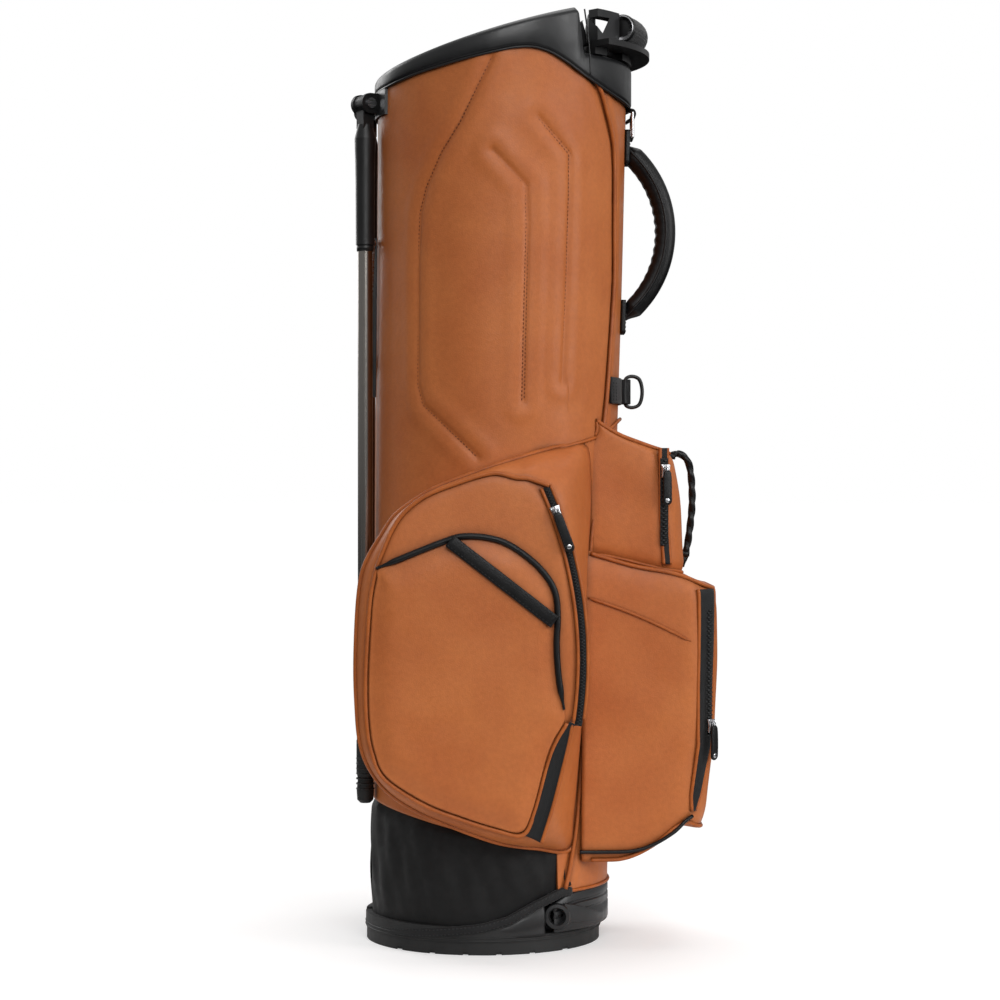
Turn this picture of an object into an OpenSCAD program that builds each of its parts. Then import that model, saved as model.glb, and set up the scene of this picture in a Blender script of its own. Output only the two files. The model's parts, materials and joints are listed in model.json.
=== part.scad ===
// Leather golf bag with a hinged foot, folding stand legs, side and front pockets.
// Millimetres. +Z is up, the origin is the middle of the foot on the ground.
// +X is the side of the handles and the front pockets, -X the side of the legs,
// -Y the near side. The tube leans back over the legs about the foot's hinge.

/* [Tube] */
// Outer radius of the leather tube at the cuff
tube_r_top = 124; // [105:1:150]
// Outer radius of the leather tube at the heel
tube_r_bottom = 117; // [100:1:141]
// How far the tube's centre moves toward the handles, from heel to cuff
tube_shift = 13; // [0:1:20]
// Height of the leather tube at its leg side
tube_top = 850; // [760:5:1020]
// Thickness of the leather and foam wall
shell_wall = 4; // [3:0.5:6]

/* [Foot] */
// Thickness of the rubber sole
sole_h = 12; // [8:1:16]
// Thickness of the moulded foot plate on the sole
foot_plate = 6; // [4:1:8]
// Height of the foot's upstand above its plate
foot_lip = 9; // [6:1:12]
// Distance of the foot's hinge from the middle, toward the handles
hinge_x = 72; // [66:1:76]
// Radius of the foot's hinge pins
hinge_pin_r = 5; // [4:0.5:6]
// Height of the flexing skirt at the leg side
skirt_top = 133; // [125:1:150]

/* [Cuff] */
// Slope of the cuff's rim
cuff_slope = 15.7; // [8:0.1:18]
// Thickness of the cuff's wall
cuff_wall = 14; // [10:1:16]
// How far the cuff stands proud of the tube
cuff_proud = 4; // [2:0.5:6]
// Thickness of a divider rail
rail_t = 8; // [6:0.5:10]
// Radius of the lift grip
grip_r = 15; // [12:0.5:16]

/* [Side pockets] */
// How far a side pocket stands out from the tube
side_depth = 50; // [35:1:65]
// Thickness of the pocket panels
panel_t = 3; // [2:0.5:4]
// Height of a side pocket
side_h = 391; // [330:1:400]

/* [Front pockets] */
// How far the lower front pocket stands out from the tube
lower_depth = 98; // [80:1:110]
// Half the width of the lower front pocket
lower_half = 86; // [70:1:95]
// How far the upper front pocket stands out from the tube
upper_depth = 62; // [50:1:75]
// Half the width of the upper front pocket
upper_half = 76; // [60:1:80]

/* [Handles] */
// Radius of the padded grab handle's middle line
grab_r = 110; // [100:1:120]
// Thickness of the padded grab handle
grab_t = 19; // [14:1:22]
// Width of the padded grab handle
grab_w = 34; // [26:1:40]

/* [Legs] */
// Length of a leg from its hinge to the bottom of its foot
leg_len = 690; // [640:5:700]
// Radius of a leg tube
leg_r = 7.4; // [6:0.1:8]
// Distance of a leg's hinge from the tube's middle plane
leg_y = 30; // [28:1:34]
// Angle by which the legs splay
leg_splay = 35; // [25:1:40]
// Radius of a leg's hinge pin
leg_pin_r = 3; // [2.5:0.25:4]
// Height of the sliding carriage's link pivot
slider_z = 570; // [560:1:600]

/* [Hidden] */
$fn = 72;

black = "#1b1b1d";
leather = "#ac6638";
silver = "#b8bbc0";

gap = 0.3;                 // clearance between neighbouring pieces
tiny = 0.05;               // running clearance of a pin in its bore
big = 2000;                // reach of a cutting block
near = -1;
far = 1;

// Tube: a slightly tilted cone from the heel to above the cuff
heel_z = 54;
tube_x_bottom = 7;
tube_x_top = tube_x_bottom + tube_shift;
tube_tilt = atan(tube_shift / (tube_top - heel_z));
function tube_part(z) = (z - heel_z) / (tube_top - heel_z);
function tube_x(z) = tube_x_bottom + tube_shift * tube_part(z);
function tube_r(z) = tube_r_bottom + (tube_r_top - tube_r_bottom) * tube_part(z);
function front_x(z) = tube_x(z) + tube_r(z);
function back_x(z) = tube_x(z) - tube_r(z);

// A cone that follows the tube, grown by g, from z0 to z1
module tube_cone(g, z0, z1) {
  translate([tube_x(z0), 0, z0]) rotate([0, tube_tilt, 0])
    cylinder(h = z1 - z0, r1 = tube_r(z0) + g, r2 = tube_r(z1) + g, $fn = 120);
}

// An outline drawn in the XZ plane, extruded between two Y values
module side_slab(points, y0, y1) {
  translate([0, y1, 0]) rotate([90, 0, 0]) linear_extrude(y1 - y0) polygon(points);
}

// A copy of the children for each side, and one side alone
module on_side(side) {
  if (side == far) mirror([0, 1, 0]) children();
  else children();
}
module both_sides() {
  children();
  mirror([0, 1, 0]) children();
}

// Foot
foot_r = tube_r_bottom;
floor_z = sole_h + foot_plate;
hinge_z = floor_z + 16.4;
knuckle_r = 12.5;
lug_r = 10;
knuckle_y = foot_r * sin(acos(hinge_x / foot_r)) - 4;
knuckle_w = 11;
lug_w = 12;
skirt_wall = 3;
skirt_front = hinge_x - knuckle_r - 1;

// The slanted lower edge of the leather tube, as a line in the XZ plane
skirt_drop = 45;
heel_edge_x = hinge_x + 5;
edge_x0 = back_x(heel_z);
edge_x1 = heel_edge_x + 8;
function edge_z(x) = skirt_top - skirt_drop * (x - edge_x0) / (edge_x1 - edge_x0);
heel_top = heel_z + 2;
skirt_end = heel_edge_x - 1;

// Cuff: the rim is a plane through the tube's axis, sloping up to the handles
rim_x = tube_x_top;
rim_z = tube_top + 38.6;
cuff_r = tube_r_top + cuff_proud;
cuff_inner = cuff_r - cuff_wall;
function rim_at(x) = rim_z + (x - rim_x) * tan(cuff_slope);
back_plate_x = rim_x + cuff_inner * 0.72;
notch_x = back_plate_x - 6;
notch_z = tube_top + 16;
module on_rim() {
  translate([rim_x, 0, rim_z]) rotate([0, -cuff_slope, 0]) children();
}
// Everything below the rim plane moved down by d
module below_rim(d) {
  on_rim() translate([-big / 2, -big / 2, -big - d]) cube(big);
}

// Lower edge of the cuff, which dips under the lift handle
cuff_edge = [
  [rim_x - cuff_r - 72, tube_top - 14], [rim_x - cuff_r - 22, tube_top - 14],
  [rim_x + 30, tube_top + 19], [rim_x + 48, tube_top + 15], [rim_x + cuff_r - 36, tube_top - 12],
  [rim_x + cuff_r + 22, tube_top - 30], [rim_x + cuff_r + 72, tube_top - 34]
];
module above_cuff_edge(d) {
  side_slab(concat([for (p = cuff_edge) [p[0], p[1] - d]],
                   [[rim_x + cuff_r + 72, big], [rim_x - cuff_r - 72, big]]), -big / 2, big / 2);
}

// Base ------------------------------------------------------------------
groove_w = 5;
groove_h = 3;
module base_sole() {
  color(black) difference() {
    cylinder(h = sole_h, r = foot_r - 1, $fn = 120);
    for (x = [-80 : 32 : 80])
      translate([x - groove_w / 2, -big / 2, -1]) cube([groove_w, big, groove_h + 1]);
  }
}

module base_foot() {
  color(black) translate([0, 0, sole_h]) cylinder(h = foot_plate, r = foot_r, $fn = 120);
}

lip_wall = 6;
// Way through the lip for the push rod at full lean
lip_gap = 3;
module foot_lip() {
  color(black) difference() {
    translate([0, 0, floor_z]) cylinder(h = foot_lip, r = foot_r, $fn = 120);
    translate([0, 0, floor_z - 1]) cylinder(h = foot_lip + 2, r = foot_r - lip_wall, $fn = 120);
    translate([skirt_front, -big / 2, floor_z - 1]) cube(big);
    translate([-big, -rod_foot_r - lip_gap, floor_z - 1]) cube([big, 2 * (rod_foot_r + lip_gap), big]);
  }
}

module foot_lugs() {
  color(black) both_sides() difference() {
    translate([hinge_x, -(knuckle_y - knuckle_w - gap), hinge_z]) rotate([-90, 0, 0]) union() {
      cylinder(h = lug_w, r = lug_r);
      translate([-lug_r, 0, 0]) cube([lug_r * 2, hinge_z - floor_z, lug_w]);
    }
    translate([hinge_x, -big / 2, hinge_z]) rotate([-90, 0, 0])
      cylinder(h = big, r = hinge_pin_r + tiny);
  }
}

module hinge_pins() {
  color(silver) both_sides()
    translate([hinge_x, -(knuckle_y + 1.5), hinge_z]) rotate([-90, 0, 0]) {
      cylinder(h = knuckle_w + lug_w + 3, r = hinge_pin_r);
      translate([0, 0, -2]) cylinder(h = 2, r = hinge_pin_r + 2.5);
    }
}

module skirt() {
  color(black) intersection() {
    difference() {
      translate([0, 0, floor_z + gap]) cylinder(h = skirt_top + 20,
        r1 = foot_r + gap + skirt_wall, r2 = tube_r(skirt_top) + skirt_wall, $fn = 120);
      translate([0, 0, floor_z]) cylinder(h = skirt_top + 22, r1 = foot_r + gap,
                                          r2 = tube_r(skirt_top), $fn = 120);
    }
    side_slab([[-200, 0], [-200, edge_z(-200) - gap], [skirt_end, edge_z(skirt_end) - gap],
               [skirt_end, heel_top + 1], [skirt_front, hinge_z + knuckle_r + 1],
               [skirt_front, 0]], -big / 2, big / 2);
  }
}

hem_h = 9;
hem_t = 2.5;
module skirt_hem() {
  hem_r = foot_r + skirt_wall + 2 * gap;
  color(black) difference() {
    translate([0, 0, floor_z - hem_h / 2]) cylinder(h = hem_h, r = hem_r + hem_t, $fn = 120);
    translate([0, 0, floor_z - hem_h]) cylinder(h = hem_h * 2, r = hem_r, $fn = 120);
    translate([skirt_front, -big / 2, 0]) cube(big);
  }
}

// Heel and tube ---------------------------------------------------------
heel_wall = 7;
module heel_bracket() {
  color(black) difference() {
    union() {
      difference() {
        intersection() {
          tube_cone(0, floor_z - 10, heel_top);
          translate([hinge_x, -big / 2, floor_z + gap]) cube(big);
        }
        tube_cone(-heel_wall, floor_z - 10, heel_top - 5);
      }
      both_sides() translate([hinge_x, -knuckle_y, hinge_z]) rotate([-90, 0, 0])
        cylinder(h = knuckle_w, r = knuckle_r);
    }
    translate([hinge_x, -big / 2, hinge_z]) rotate([-90, 0, 0])
      cylinder(h = big, r = hinge_pin_r + tiny);
    both_sides() translate([hinge_x, -big, hinge_z]) rotate([-90, 0, 0])
      cylinder(h = big - knuckle_y, r = hinge_pin_r + 2.5 + gap);
  }
}

rod_x = max(back_x(heel_z) + 21, back_x(slider_z) + 17);   // inside the tube at both ends
rod_r = 3;
rod_clear = 2.5;
module bag_bottom() {
  floor_t = 4;
  x0 = -150;
  x1 = 150;
  color(black) difference() {
    intersection() {
      tube_cone(-shell_wall - gap, heel_top, skirt_top + 30);
      side_slab([[x0, edge_z(x0) + 2], [x1, edge_z(x1) + 2], [x1, edge_z(x1) + 2 + floor_t],
                 [x0, edge_z(x0) + 2 + floor_t]], -big / 2, big / 2);
    }
    translate([rod_x, 0, 0]) cylinder(h = big, r = rod_r + rod_clear);
  }
}

slot_half = 3;
slot_z0 = slider_z - 24;
slot_z1 = slider_z + 118;
module body_shell() {
  x0 = -160;
  color(leather) difference() {
    tube_cone(0, heel_top, tube_top + 40);
    tube_cone(-shell_wall, heel_top - 1, tube_top + 41);
    above_cuff_edge(gap);
    side_slab([[x0, 0], [x0, edge_z(x0)], [edge_x1, edge_z(edge_x1)], [heel_edge_x, heel_top],
               [heel_edge_x, 0]], -big / 2, big / 2);
    translate([back_x(slot_z0) - 20, -slot_half, slot_z0])
      cube([40, slot_half * 2, slot_z1 - slot_z0]);
  }
}

stay_r = 3;
stay_z = 160;
stay_flare = atan((tube_r_top - tube_r_bottom) / (tube_top - heel_z));
module stays() {
  color(silver) for (a = [45, 135, 225, 315])
    translate([tube_x(stay_z), 0, stay_z]) rotate([0, tube_tilt, 0]) rotate([0, 0, a])
      translate([tube_r(stay_z) - shell_wall - stay_r - gap, 0, 0]) rotate([0, stay_flare, 0])
        cylinder(h = tube_top - stay_z - 20, r = stay_r);
}

module cuff_ring(r0, r1) {
  difference() {
    translate([rim_x, 0, tube_top - 60]) cylinder(h = 200, r = r1, $fn = 120);
    translate([rim_x, 0, tube_top - 61]) cylinder(h = 202, r = r0, $fn = 120);
  }
}
module top_cuff() {
  color(black) difference() {
    intersection() {
      cuff_ring(cuff_inner, cuff_r);
      above_cuff_edge(0);
      below_rim(0);
    }
    side_slab([[notch_x, notch_z + 8], [notch_x + 2, notch_z], [big, notch_z], [big, big],
               [notch_x, big]], -big / 2, big / 2);
  }
}

// Fourteen-way divider: rows run across the bag, fins part each row -------
row_x = [rim_x - cuff_inner * 0.55, rim_x - cuff_inner * 0.11, rim_x + cuff_inner * 0.33];
row_edges = concat([rim_x - cuff_inner], row_x, [back_plate_x]);
row_fins = [[-25, 25], [-54, 0, 54], [-56, 0, 56], [-33, 33]];
divider_h = 26;
rim_drop = 3;
// The inside of the cuff in plan, as a block
module cuff_inside(g) {
  translate([rim_x, 0, tube_top - 60]) cylinder(h = 200, r = cuff_inner - g, $fn = 120);
}
module divider_band() {
  difference() {
    below_rim(rim_drop);
    below_rim(rim_drop + divider_h);
  }
}
module divider_rails() {
  color(black) intersection() {
    cuff_inside(gap);
    divider_band();
    union() {
      for (x = row_x) translate([x - rail_t / 2, -big / 2, 0]) cube([rail_t, big, big]);
      translate([back_plate_x, -big / 2, 0]) cube([rail_t, big, big]);
    }
  }
}
module fins(t, g) {
  for (i = [0 : 3]) for (y = row_fins[i])
    translate([row_edges[i] + (i == 0 ? -5 : rail_t / 2 + g), y - t / 2, 0])
      cube([row_edges[i + 1] - row_edges[i] - (i == 0 ? rail_t / 2 - 5 : i == 3 ? rail_t / 2
            : rail_t) - (i == 0 ? g : g * 2), t, big]);
}
module divider_fins() {
  color(black) intersection() {
    cuff_inside(gap);
    divider_band();
    fins(rail_t - 2, gap);
  }
}
wall_t = 2.4;
wall_bottom = skirt_top + 30;
module divider_walls() {
  color(black) intersection() {
    tube_cone(-shell_wall - 8, wall_bottom, tube_top + 60);
    below_rim(rim_drop + divider_h + gap);
    union() {
      for (x = row_x) translate([x - wall_t / 2, -big / 2, 0]) cube([wall_t, big, big]);
      translate([back_plate_x + rail_t / 2, -big / 2, 0]) cube([wall_t, big, big]);
      intersection() {
        fins(wall_t, gap);
        translate([tube_x_bottom - 70, -big / 2, 0]) cube([big, big, big]);
      }
    }
  }
}

// Lift handle -----------------------------------------------------------
grip_mid_r = cuff_r + 3;
grip_half = 27;
grip_z = tube_top + 45;
arm_half = 46;
arm_t = 12;
module around_cuff(a0, a1) {
  translate([rim_x, 0, 0]) rotate([0, 0, a0]) rotate_extrude(angle = a1 - a0, $fn = 120) children();
}
module lift_arms() {
  z0 = notch_z + 13;
  z1 = rim_at(notch_x) - 1;
  color(black) both_sides() difference() {
    around_cuff(-arm_half, -grip_half - 3.2)
      translate([grip_mid_r - arm_t, z0]) square([arm_t, z1 - z0]);
    side_slab([[rim_x + 82, z1 - 8], [rim_x + 103, z1 - 7], [rim_x + 96, z1 - 23]], -big, 0);
  }
}
module lift_rail() {
  color(black) {
    around_cuff(-arm_half, arm_half) translate([grip_mid_r - arm_t, notch_z + 7])
      square([grip_r + arm_t, 5.7]);
    around_cuff(-24, 24) translate([cuff_inner + 2, notch_z]) square([cuff_wall - 2, 7]);
    both_sides() around_cuff(-arm_half, -arm_half + 8)
      translate([cuff_inner + 2, notch_z]) square([cuff_wall - 2, 7]);
  }
}
module lift_grip() {
  color(black) around_cuff(-grip_half, grip_half) translate([grip_mid_r, grip_z + gap])
    circle(grip_r - 1.5);
}
module lift_caps() {
  color(silver) both_sides() around_cuff(-grip_half - 2.9, -grip_half - 0.1)
    translate([grip_mid_r, grip_z + gap]) circle(grip_r - 0.5);
}

// Side pockets ----------------------------------------------------------
side_z0 = 98;
side_y = tube_r(300) + side_depth;
side_x0 = back_x(300) - 11;
side_w = tube_x(300) + 94 - side_x0;
side_outline = [
  [1, 1], [0.63, 0.955], [0.24, 0.858], [0.13, 0.81], [0.075, 0.745], [0.02, 0.66], [0, 0.51],
  [0.005, 0.37], [0.03, 0.26], [0.09, 0.185], [0.24, 0.115], [0.6, 0.042], [0.92, 0],
  [0.965, 0.34], [0.99, 0.77]
];
function side_pt(p) = [side_x0 + p[0] * side_w, side_z0 + p[1] * side_h];
module side_block(inset, y0, y1) {
  translate([0, y1, 0]) rotate([90, 0, 0]) linear_extrude(y1 - y0)
    offset(delta = -inset) polygon([for (p = side_outline) side_pt(p)]);
}
side_back = -52;
module side_pocket(side) {
  on_side(side) color(leather) difference() {
    side_block(0, -side_y, side_back);
    side_block(panel_t, -side_y + panel_t, side_back - panel_t);
    tube_cone(gap, 60, tube_top);
    translate([tube_x(300) + 50, -lower_half - gap, 0]) cube([big, lower_half, upper_z1 + 10]);
  }
}
module near_side_pocket() { side_pocket(near); }
module far_side_pocket() { side_pocket(far); }

valuables_t = 5;
valuables_outline = [
  [0.1, 0.77], [0.33, 0.845], [0.52, 0.85], [0.68, 0.79], [0.79, 0.72], [0.8, 0.56],
  [0.78, 0.34], [0.66, 0.15], [0.25, 0.19], [0.11, 0.26], [0.07, 0.38], [0.07, 0.62]
];
module valuables_pocket(side) {
  on_side(side) color(leather)
    side_slab([for (p = valuables_outline) side_pt([p[0], p[1] * 0.94])],
              -side_y - valuables_t - gap, -side_y - gap);
}
module near_valuables_pocket() { valuables_pocket(near); }
module far_valuables_pocket() { valuables_pocket(far); }

// Side zip: an arc about a point far behind the pocket
zip_x = side_x0 - 180;
zip_z = side_z0 + 188;
zip_r = side_x0 + side_w - zip_x - 12;
zip_a0 = -9;
zip_a1 = 21.5;
zip_w = 12;
zip_t = 1.5;
module along_zip(a0, a1) {
  translate([zip_x, 0, zip_z]) rotate([90, 0, 0]) rotate([0, 0, a0])
    rotate_extrude(angle = a1 - a0, $fn = 180) children();
}
module zip_track(side) {
  on_side(side) color(black) along_zip(zip_a0, zip_a1)
    translate([zip_r - zip_w / 2, side_y + gap]) square([zip_w, zip_t]);
}
module near_zip_track() { zip_track(near); }
module far_zip_track() { zip_track(far); }

slider_l = 13;
slider_w = 8;
slider_t = 3.5;
pull_l = 40;
pull_w = 9;
pull_t = 2;
// Pull hanging from its top edge, round about the hinge it lifts on
module pull_bar(l) {
  translate([-pull_w / 2, 0, -pull_t / 2]) rotate([0, 90, 0]) cylinder(h = pull_w, r = pull_t / 2);
  translate([-pull_w / 2, -pull_t / 2, -l]) cube([pull_w, pull_t, l]);
}
// Zip slider lying on a face that looks toward -Y, its travel along X
module flat_slider() {
  difference() {
    translate([-slider_l / 2, -slider_t, -slider_w / 2]) cube([slider_l, slider_t, slider_w]);
    translate([0, -slider_t / 2 - 0.6, 0]) rotate([0, 90, 0])
      cylinder(h = slider_l * 2, r = 0.9, center = true);
  }
}
module on_side_zip(a) {
  translate([zip_x, 0, zip_z]) rotate([0, -a, 0]) translate([zip_r, 0, 0])
    translate([0, -side_y - zip_t - 2 * gap, 0]) children();
}
module zip_slider(side) {
  on_side(side) color(silver) on_side_zip(zip_a1 - 1) rotate([0, 90, 0]) flat_slider();
}
module near_zip_slider() { zip_slider(near); }
module far_zip_slider() { zip_slider(far); }
module zip_pull(side) {
  on_side(side) color(black) on_side_zip(zip_a1 - 1) translate([0, -slider_t - gap, 0])
    difference() {
      translate([0, -pull_t / 2, 8 - slider_l / 2]) pull_bar(pull_l);
      translate([0, 1, -slider_l / 2 - pull_l + 14]) rotate([90, 0, 0])
        cylinder(h = pull_t + 2, r = 2);
    }
}
module near_zip_pull() { zip_pull(near); }
module far_zip_pull() { zip_pull(far); }

// Front pockets ---------------------------------------------------------
// A pocket on the tube's handle side: a side outline of [reach, height] and a plan outline
// with round outer corners
module front_block(outline, half, corner, reach, inset) {
  intersection() {
    side_slab(outline, -half + inset, half - inset);
    translate([0, 0, 40]) linear_extrude(big) {
      r = corner - inset;
      x1 = reach - inset;
      translate([x1 - r, -half + corner]) circle(r);
      translate([x1 - r, half - corner]) circle(r);
      translate([x1 - r, -half + corner]) square([r, 2 * (half - corner)]);
      translate([-10, -half + inset]) square([x1 - r + 10, 2 * (half - inset)]);
    }
  }
}
lower_z0 = 76;
lower_z1 = 386;
lower_reach = tube_x(300) + tube_r(300) + lower_depth;
lower_corner = 36;
function lower_outline(i) = [
  [20, lower_z1 - i], [front_x(300) + 58, lower_z1 - 16 - i], [lower_reach - 14, lower_z1 - 32 - i],
  [lower_reach - i, lower_z1 - 54], [lower_reach - 2 - i, lower_z1 - 120],
  [lower_reach - 19 - i, lower_z0 + 76], [lower_reach - 22 - i, lower_z0 + 38],
  [lower_reach - 40 - i / 2, lower_z0 + 18 + i / 2], [lower_reach - 84, lower_z0 + i],
  [20, lower_z0 + i]
];
module lower_front_pocket() {
  color(leather) difference() {
    front_block(lower_outline(0), lower_half, lower_corner, lower_reach, 0);
    front_block(lower_outline(panel_t), lower_half, lower_corner, lower_reach, panel_t);
    tube_cone(gap, 20, tube_top);
    translate([-big + 70, -big / 2, 0]) cube(big);
  }
}

upper_z0 = lower_z1 + 1;
upper_z1 = 522;
upper_reach = front_x(430) + upper_depth;
upper_corner = 30;
function upper_outline(i) = [
  [20, upper_z1 - i], [front_x(500) + 1, upper_z1 - i], [front_x(500) + 19, upper_z1 - 18 - i],
  [upper_reach - 20, upper_z1 - 33 - i], [upper_reach - 9 - i, upper_z1 - 46],
  [upper_reach - 3 - i, upper_z1 - 96], [upper_reach - i, upper_z0 + i], [20, upper_z0 + i]
];
module upper_front_pocket() {
  color(leather) difference() {
    front_block(upper_outline(0), upper_half, upper_corner, upper_reach, 0);
    front_block(upper_outline(panel_t), upper_half, upper_corner, upper_reach, panel_t);
    tube_cone(gap, 20, tube_top);
    translate([-big + 70, -big / 2, 0]) cube(big);
  }
}

// Front zips: upright tracks on the round outer corners of the pockets
// The children lie on a corner, facing out of it, turned by a degrees from the side face
module on_corner(reach, half, corner, a) {
  translate([reach - corner, corner - half, 0]) rotate([0, 0, a])
    translate([0, -corner - 2 * gap, 0]) children();
}
lower_zip_z0 = lower_z0 + 134;
lower_zip_z1 = lower_z1 - 62;
upper_zip_z0 = upper_z0 + 8;
upper_zip_z1 = upper_z1 - 52;
module upright_track(z0, z1) {
  translate([-zip_w / 2, -zip_t, z0]) cube([zip_w, zip_t, z1 - z0]);
}
module upright_slider(z) {
  translate([0, -zip_t - gap, z]) rotate([0, 90, 0]) flat_slider();
}
module upright_pull(z) {
  translate([0, -zip_t - gap - slider_t - gap - pull_t / 2, z + 4]) pull_bar(34);
}
module on_upper_zip() { on_corner(upper_reach, upper_half, upper_corner, 22) children(); }
module upper_zip_track() {
  color(black) on_upper_zip() upright_track(upper_zip_z0, upper_zip_z1);
}
upper_stop = upper_zip_z1 - slider_l / 2;
module upper_zip_slider() { color(silver) on_upper_zip() upright_slider(upper_stop); }
module upper_zip_pull() { color(black) on_upper_zip() upright_pull(upper_stop); }

module on_lower_zip(side) {
  on_side(side) on_corner(lower_reach, lower_half, lower_corner, 45) children();
}
module lower_track(side) {
  color(black) on_lower_zip(side) upright_track(lower_zip_z0, lower_zip_z1);
}
module lower_near_track() { lower_track(near); }
module lower_far_track() { lower_track(far); }
lower_stop = lower_zip_z0 + slider_l / 2;
module lower_slider(side) { color(silver) on_lower_zip(side) upright_slider(lower_stop); }
module lower_near_slider() { lower_slider(near); }
module lower_far_slider() { lower_slider(far); }
module lower_pull(side) { color(black) on_lower_zip(side) upright_pull(lower_stop); }
module lower_near_pull() { lower_pull(near); }
module lower_far_pull() { lower_pull(far); }

// Handles and rings -----------------------------------------------------
grab_z = tube_top - 148;
grab_x = front_x(grab_z) - 68;
grab_half = 49;
module grab_handle() {
  color(black) difference() {
    translate([grab_x, 0, grab_z]) rotate([90, 0, 0]) rotate([0, 0, -grab_half])
      rotate_extrude(angle = 2 * grab_half, $fn = 120) union() {
        translate([grab_r - grab_t / 2, -grab_w / 2 + 6]) square([grab_t, grab_w - 12]);
        translate([grab_r - grab_t / 2 + 6, -grab_w / 2]) square([grab_t - 12, grab_w]);
        for (x = [-1, 1], y = [-1, 1])
          translate([grab_r + x * (grab_t / 2 - 6), y * (grab_w / 2 - 6)]) circle(6);
      }
    tube_cone(3.2, 400, tube_top);
  }
}
anchor_h = 36;
module grab_anchors() {
  dz = grab_r * sin(grab_half);
  color(black) for (z = [grab_z - dz, grab_z + dz]) difference() {
    intersection() {
      tube_cone(3, z - anchor_h, z + anchor_h);
      translate([grab_x, -grab_w / 2, z - anchor_h / 2]) cube([200, grab_w, anchor_h]);
    }
    tube_cone(gap, z - anchor_h - 1, z + anchor_h + 1);
  }
}

loop_r = 80;
loop_half = 40;
loop_z = upper_z0 + 40;
loop_x = upper_reach - 66;
loop_t = 7.5;
module pocket_handle() {
  color(black) difference() {
    translate([loop_x, 0, loop_z]) rotate([90, 0, 0]) rotate([0, 0, -loop_half])
      rotate_extrude(angle = 2 * loop_half, $fn = 120)
        translate([loop_r - loop_t, -7]) square([loop_t, 14]);
    side_slab([for (p = upper_outline(-gap)) p], -40, 40);
  }
}

ring_z = tube_top - 307;
ring_x = front_x(ring_z) + 4;
ring_t = 4;
module ring_strap() {
  color(black) difference() {
    union() {
      intersection() {
        tube_cone(3, ring_z - 20, ring_z + 20);
        translate([ring_x - 30, -11, ring_z - 13]) cube([60, 22, 26]);
      }
      translate([ring_x, 0, ring_z - 11]) cylinder(h = 22, r = 4.5);
      translate([ring_x - 8, -4.5, ring_z - 11]) cube([8, 9, 22]);
    }
    tube_cone(gap, ring_z - 30, ring_z + 30);
    translate([ring_x, 0, ring_z - 20]) cylinder(h = 40, r = ring_t / 2 + tiny);
  }
}
module d_ring() {
  color(black) {
    translate([ring_x, 0, ring_z - 15]) cylinder(h = 30, r = ring_t / 2);
    for (z = [-15, 15]) translate([ring_x, 0, ring_z + z]) rotate([0, 90, 0])
      cylinder(h = 11, r = ring_t / 2);
    translate([ring_x + 11, 0, ring_z - 15]) cylinder(h = 30, r = ring_t / 2);
    for (z = [-15, 15]) translate([ring_x + 11, 0, ring_z + z]) sphere(ring_t / 2);
    for (z = [-15, 15]) translate([ring_x, 0, ring_z + z]) sphere(ring_t / 2);
  }
}

top_ring_z = tube_top - 30;
top_ring_x = front_x(top_ring_z) + 5.5;
top_ring_t = 3;
module top_ring_strap() {
  color(black) difference() {
    union() {
      intersection() {
        tube_cone(2.6, top_ring_z - 20, top_ring_z + 20);
        translate([top_ring_x - 30, -12, top_ring_z - 10]) cube([60, 24, 15]);
      }
      translate([top_ring_x, -12, top_ring_z]) rotate([-90, 0, 0]) cylinder(h = 24, r = 3.6);
      translate([top_ring_x - 8, -12, top_ring_z - 3.6]) cube([8, 24, 7.2]);
    }
    tube_cone(gap, top_ring_z - 40, top_ring_z + 40);
    translate([top_ring_x, -20, top_ring_z]) rotate([-90, 0, 0])
      cylinder(h = 40, r = top_ring_t / 2 + tiny);
  }
}
module top_ring() {
  w = 15;
  h = 24;
  color(silver) translate([top_ring_x, 0, top_ring_z]) {
    for (z = [0, -h]) translate([0, -w, z]) rotate([-90, 0, 0])
      cylinder(h = 2 * w, r = top_ring_t / 2);
    for (y = [-w, w]) translate([0, y, -h]) cylinder(h = h, r = top_ring_t / 2);
    for (y = [-w, w], z = [0, -h]) translate([0, y, z]) sphere(top_ring_t / 2);
  }
}

// Stand -----------------------------------------------------------------
leg_z = tube_top - 24;
leg_x = min(back_x(leg_z) - 12, back_x(leg_z - leg_len) - 6.8); // clear of the tube at both ends
head_r = 9;
head_w = 13;
ear_t = 4;
ear_r = 10;
// A leg's own frame: origin on its hinge axis, which is local Y
module leg_frame(side) {
  translate([leg_x, side * leg_y, leg_z]) rotate([0, 0, -side * leg_splay]) children();
}
module leg_yoke() {
  color(black) difference() {
    union() {
      intersection() {
        translate([leg_x - 2, -leg_y - 24, leg_z - 13]) cube([40, 2 * leg_y + 48, 25]);
        tube_cone(3.5, leg_z - 30, leg_z + 30);
      }
      for (side = [near, far]) leg_frame(side)
        for (y = [-head_w / 2 - ear_t - gap, head_w / 2 + gap]) {
          translate([0, y, 0]) rotate([-90, 0, 0]) cylinder(h = ear_t, r = ear_r);
          translate([0, y, -ear_r]) cube([16, ear_t, 2 * ear_r]);
        }
    }
    tube_cone(gap, leg_z - 40, leg_z + 40);
    for (side = [near, far]) leg_frame(side) translate([0, -20, 0]) rotate([-90, 0, 0])
      cylinder(h = 40, r = leg_pin_r + tiny);
  }
}
module leg_pins() {
  l = head_w + 2 * ear_t + 2 * gap;
  color(silver) for (side = [near, far]) leg_frame(side) {
    translate([0, -l / 2 - 0.5, 0]) rotate([-90, 0, 0]) cylinder(h = l + 1, r = leg_pin_r);
    for (y = [-l / 2 - 2.2, l / 2 + 0.2]) translate([0, y, 0]) rotate([-90, 0, 0])
      cylinder(h = 2, r = leg_pin_r + 2);
  }
}

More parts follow.
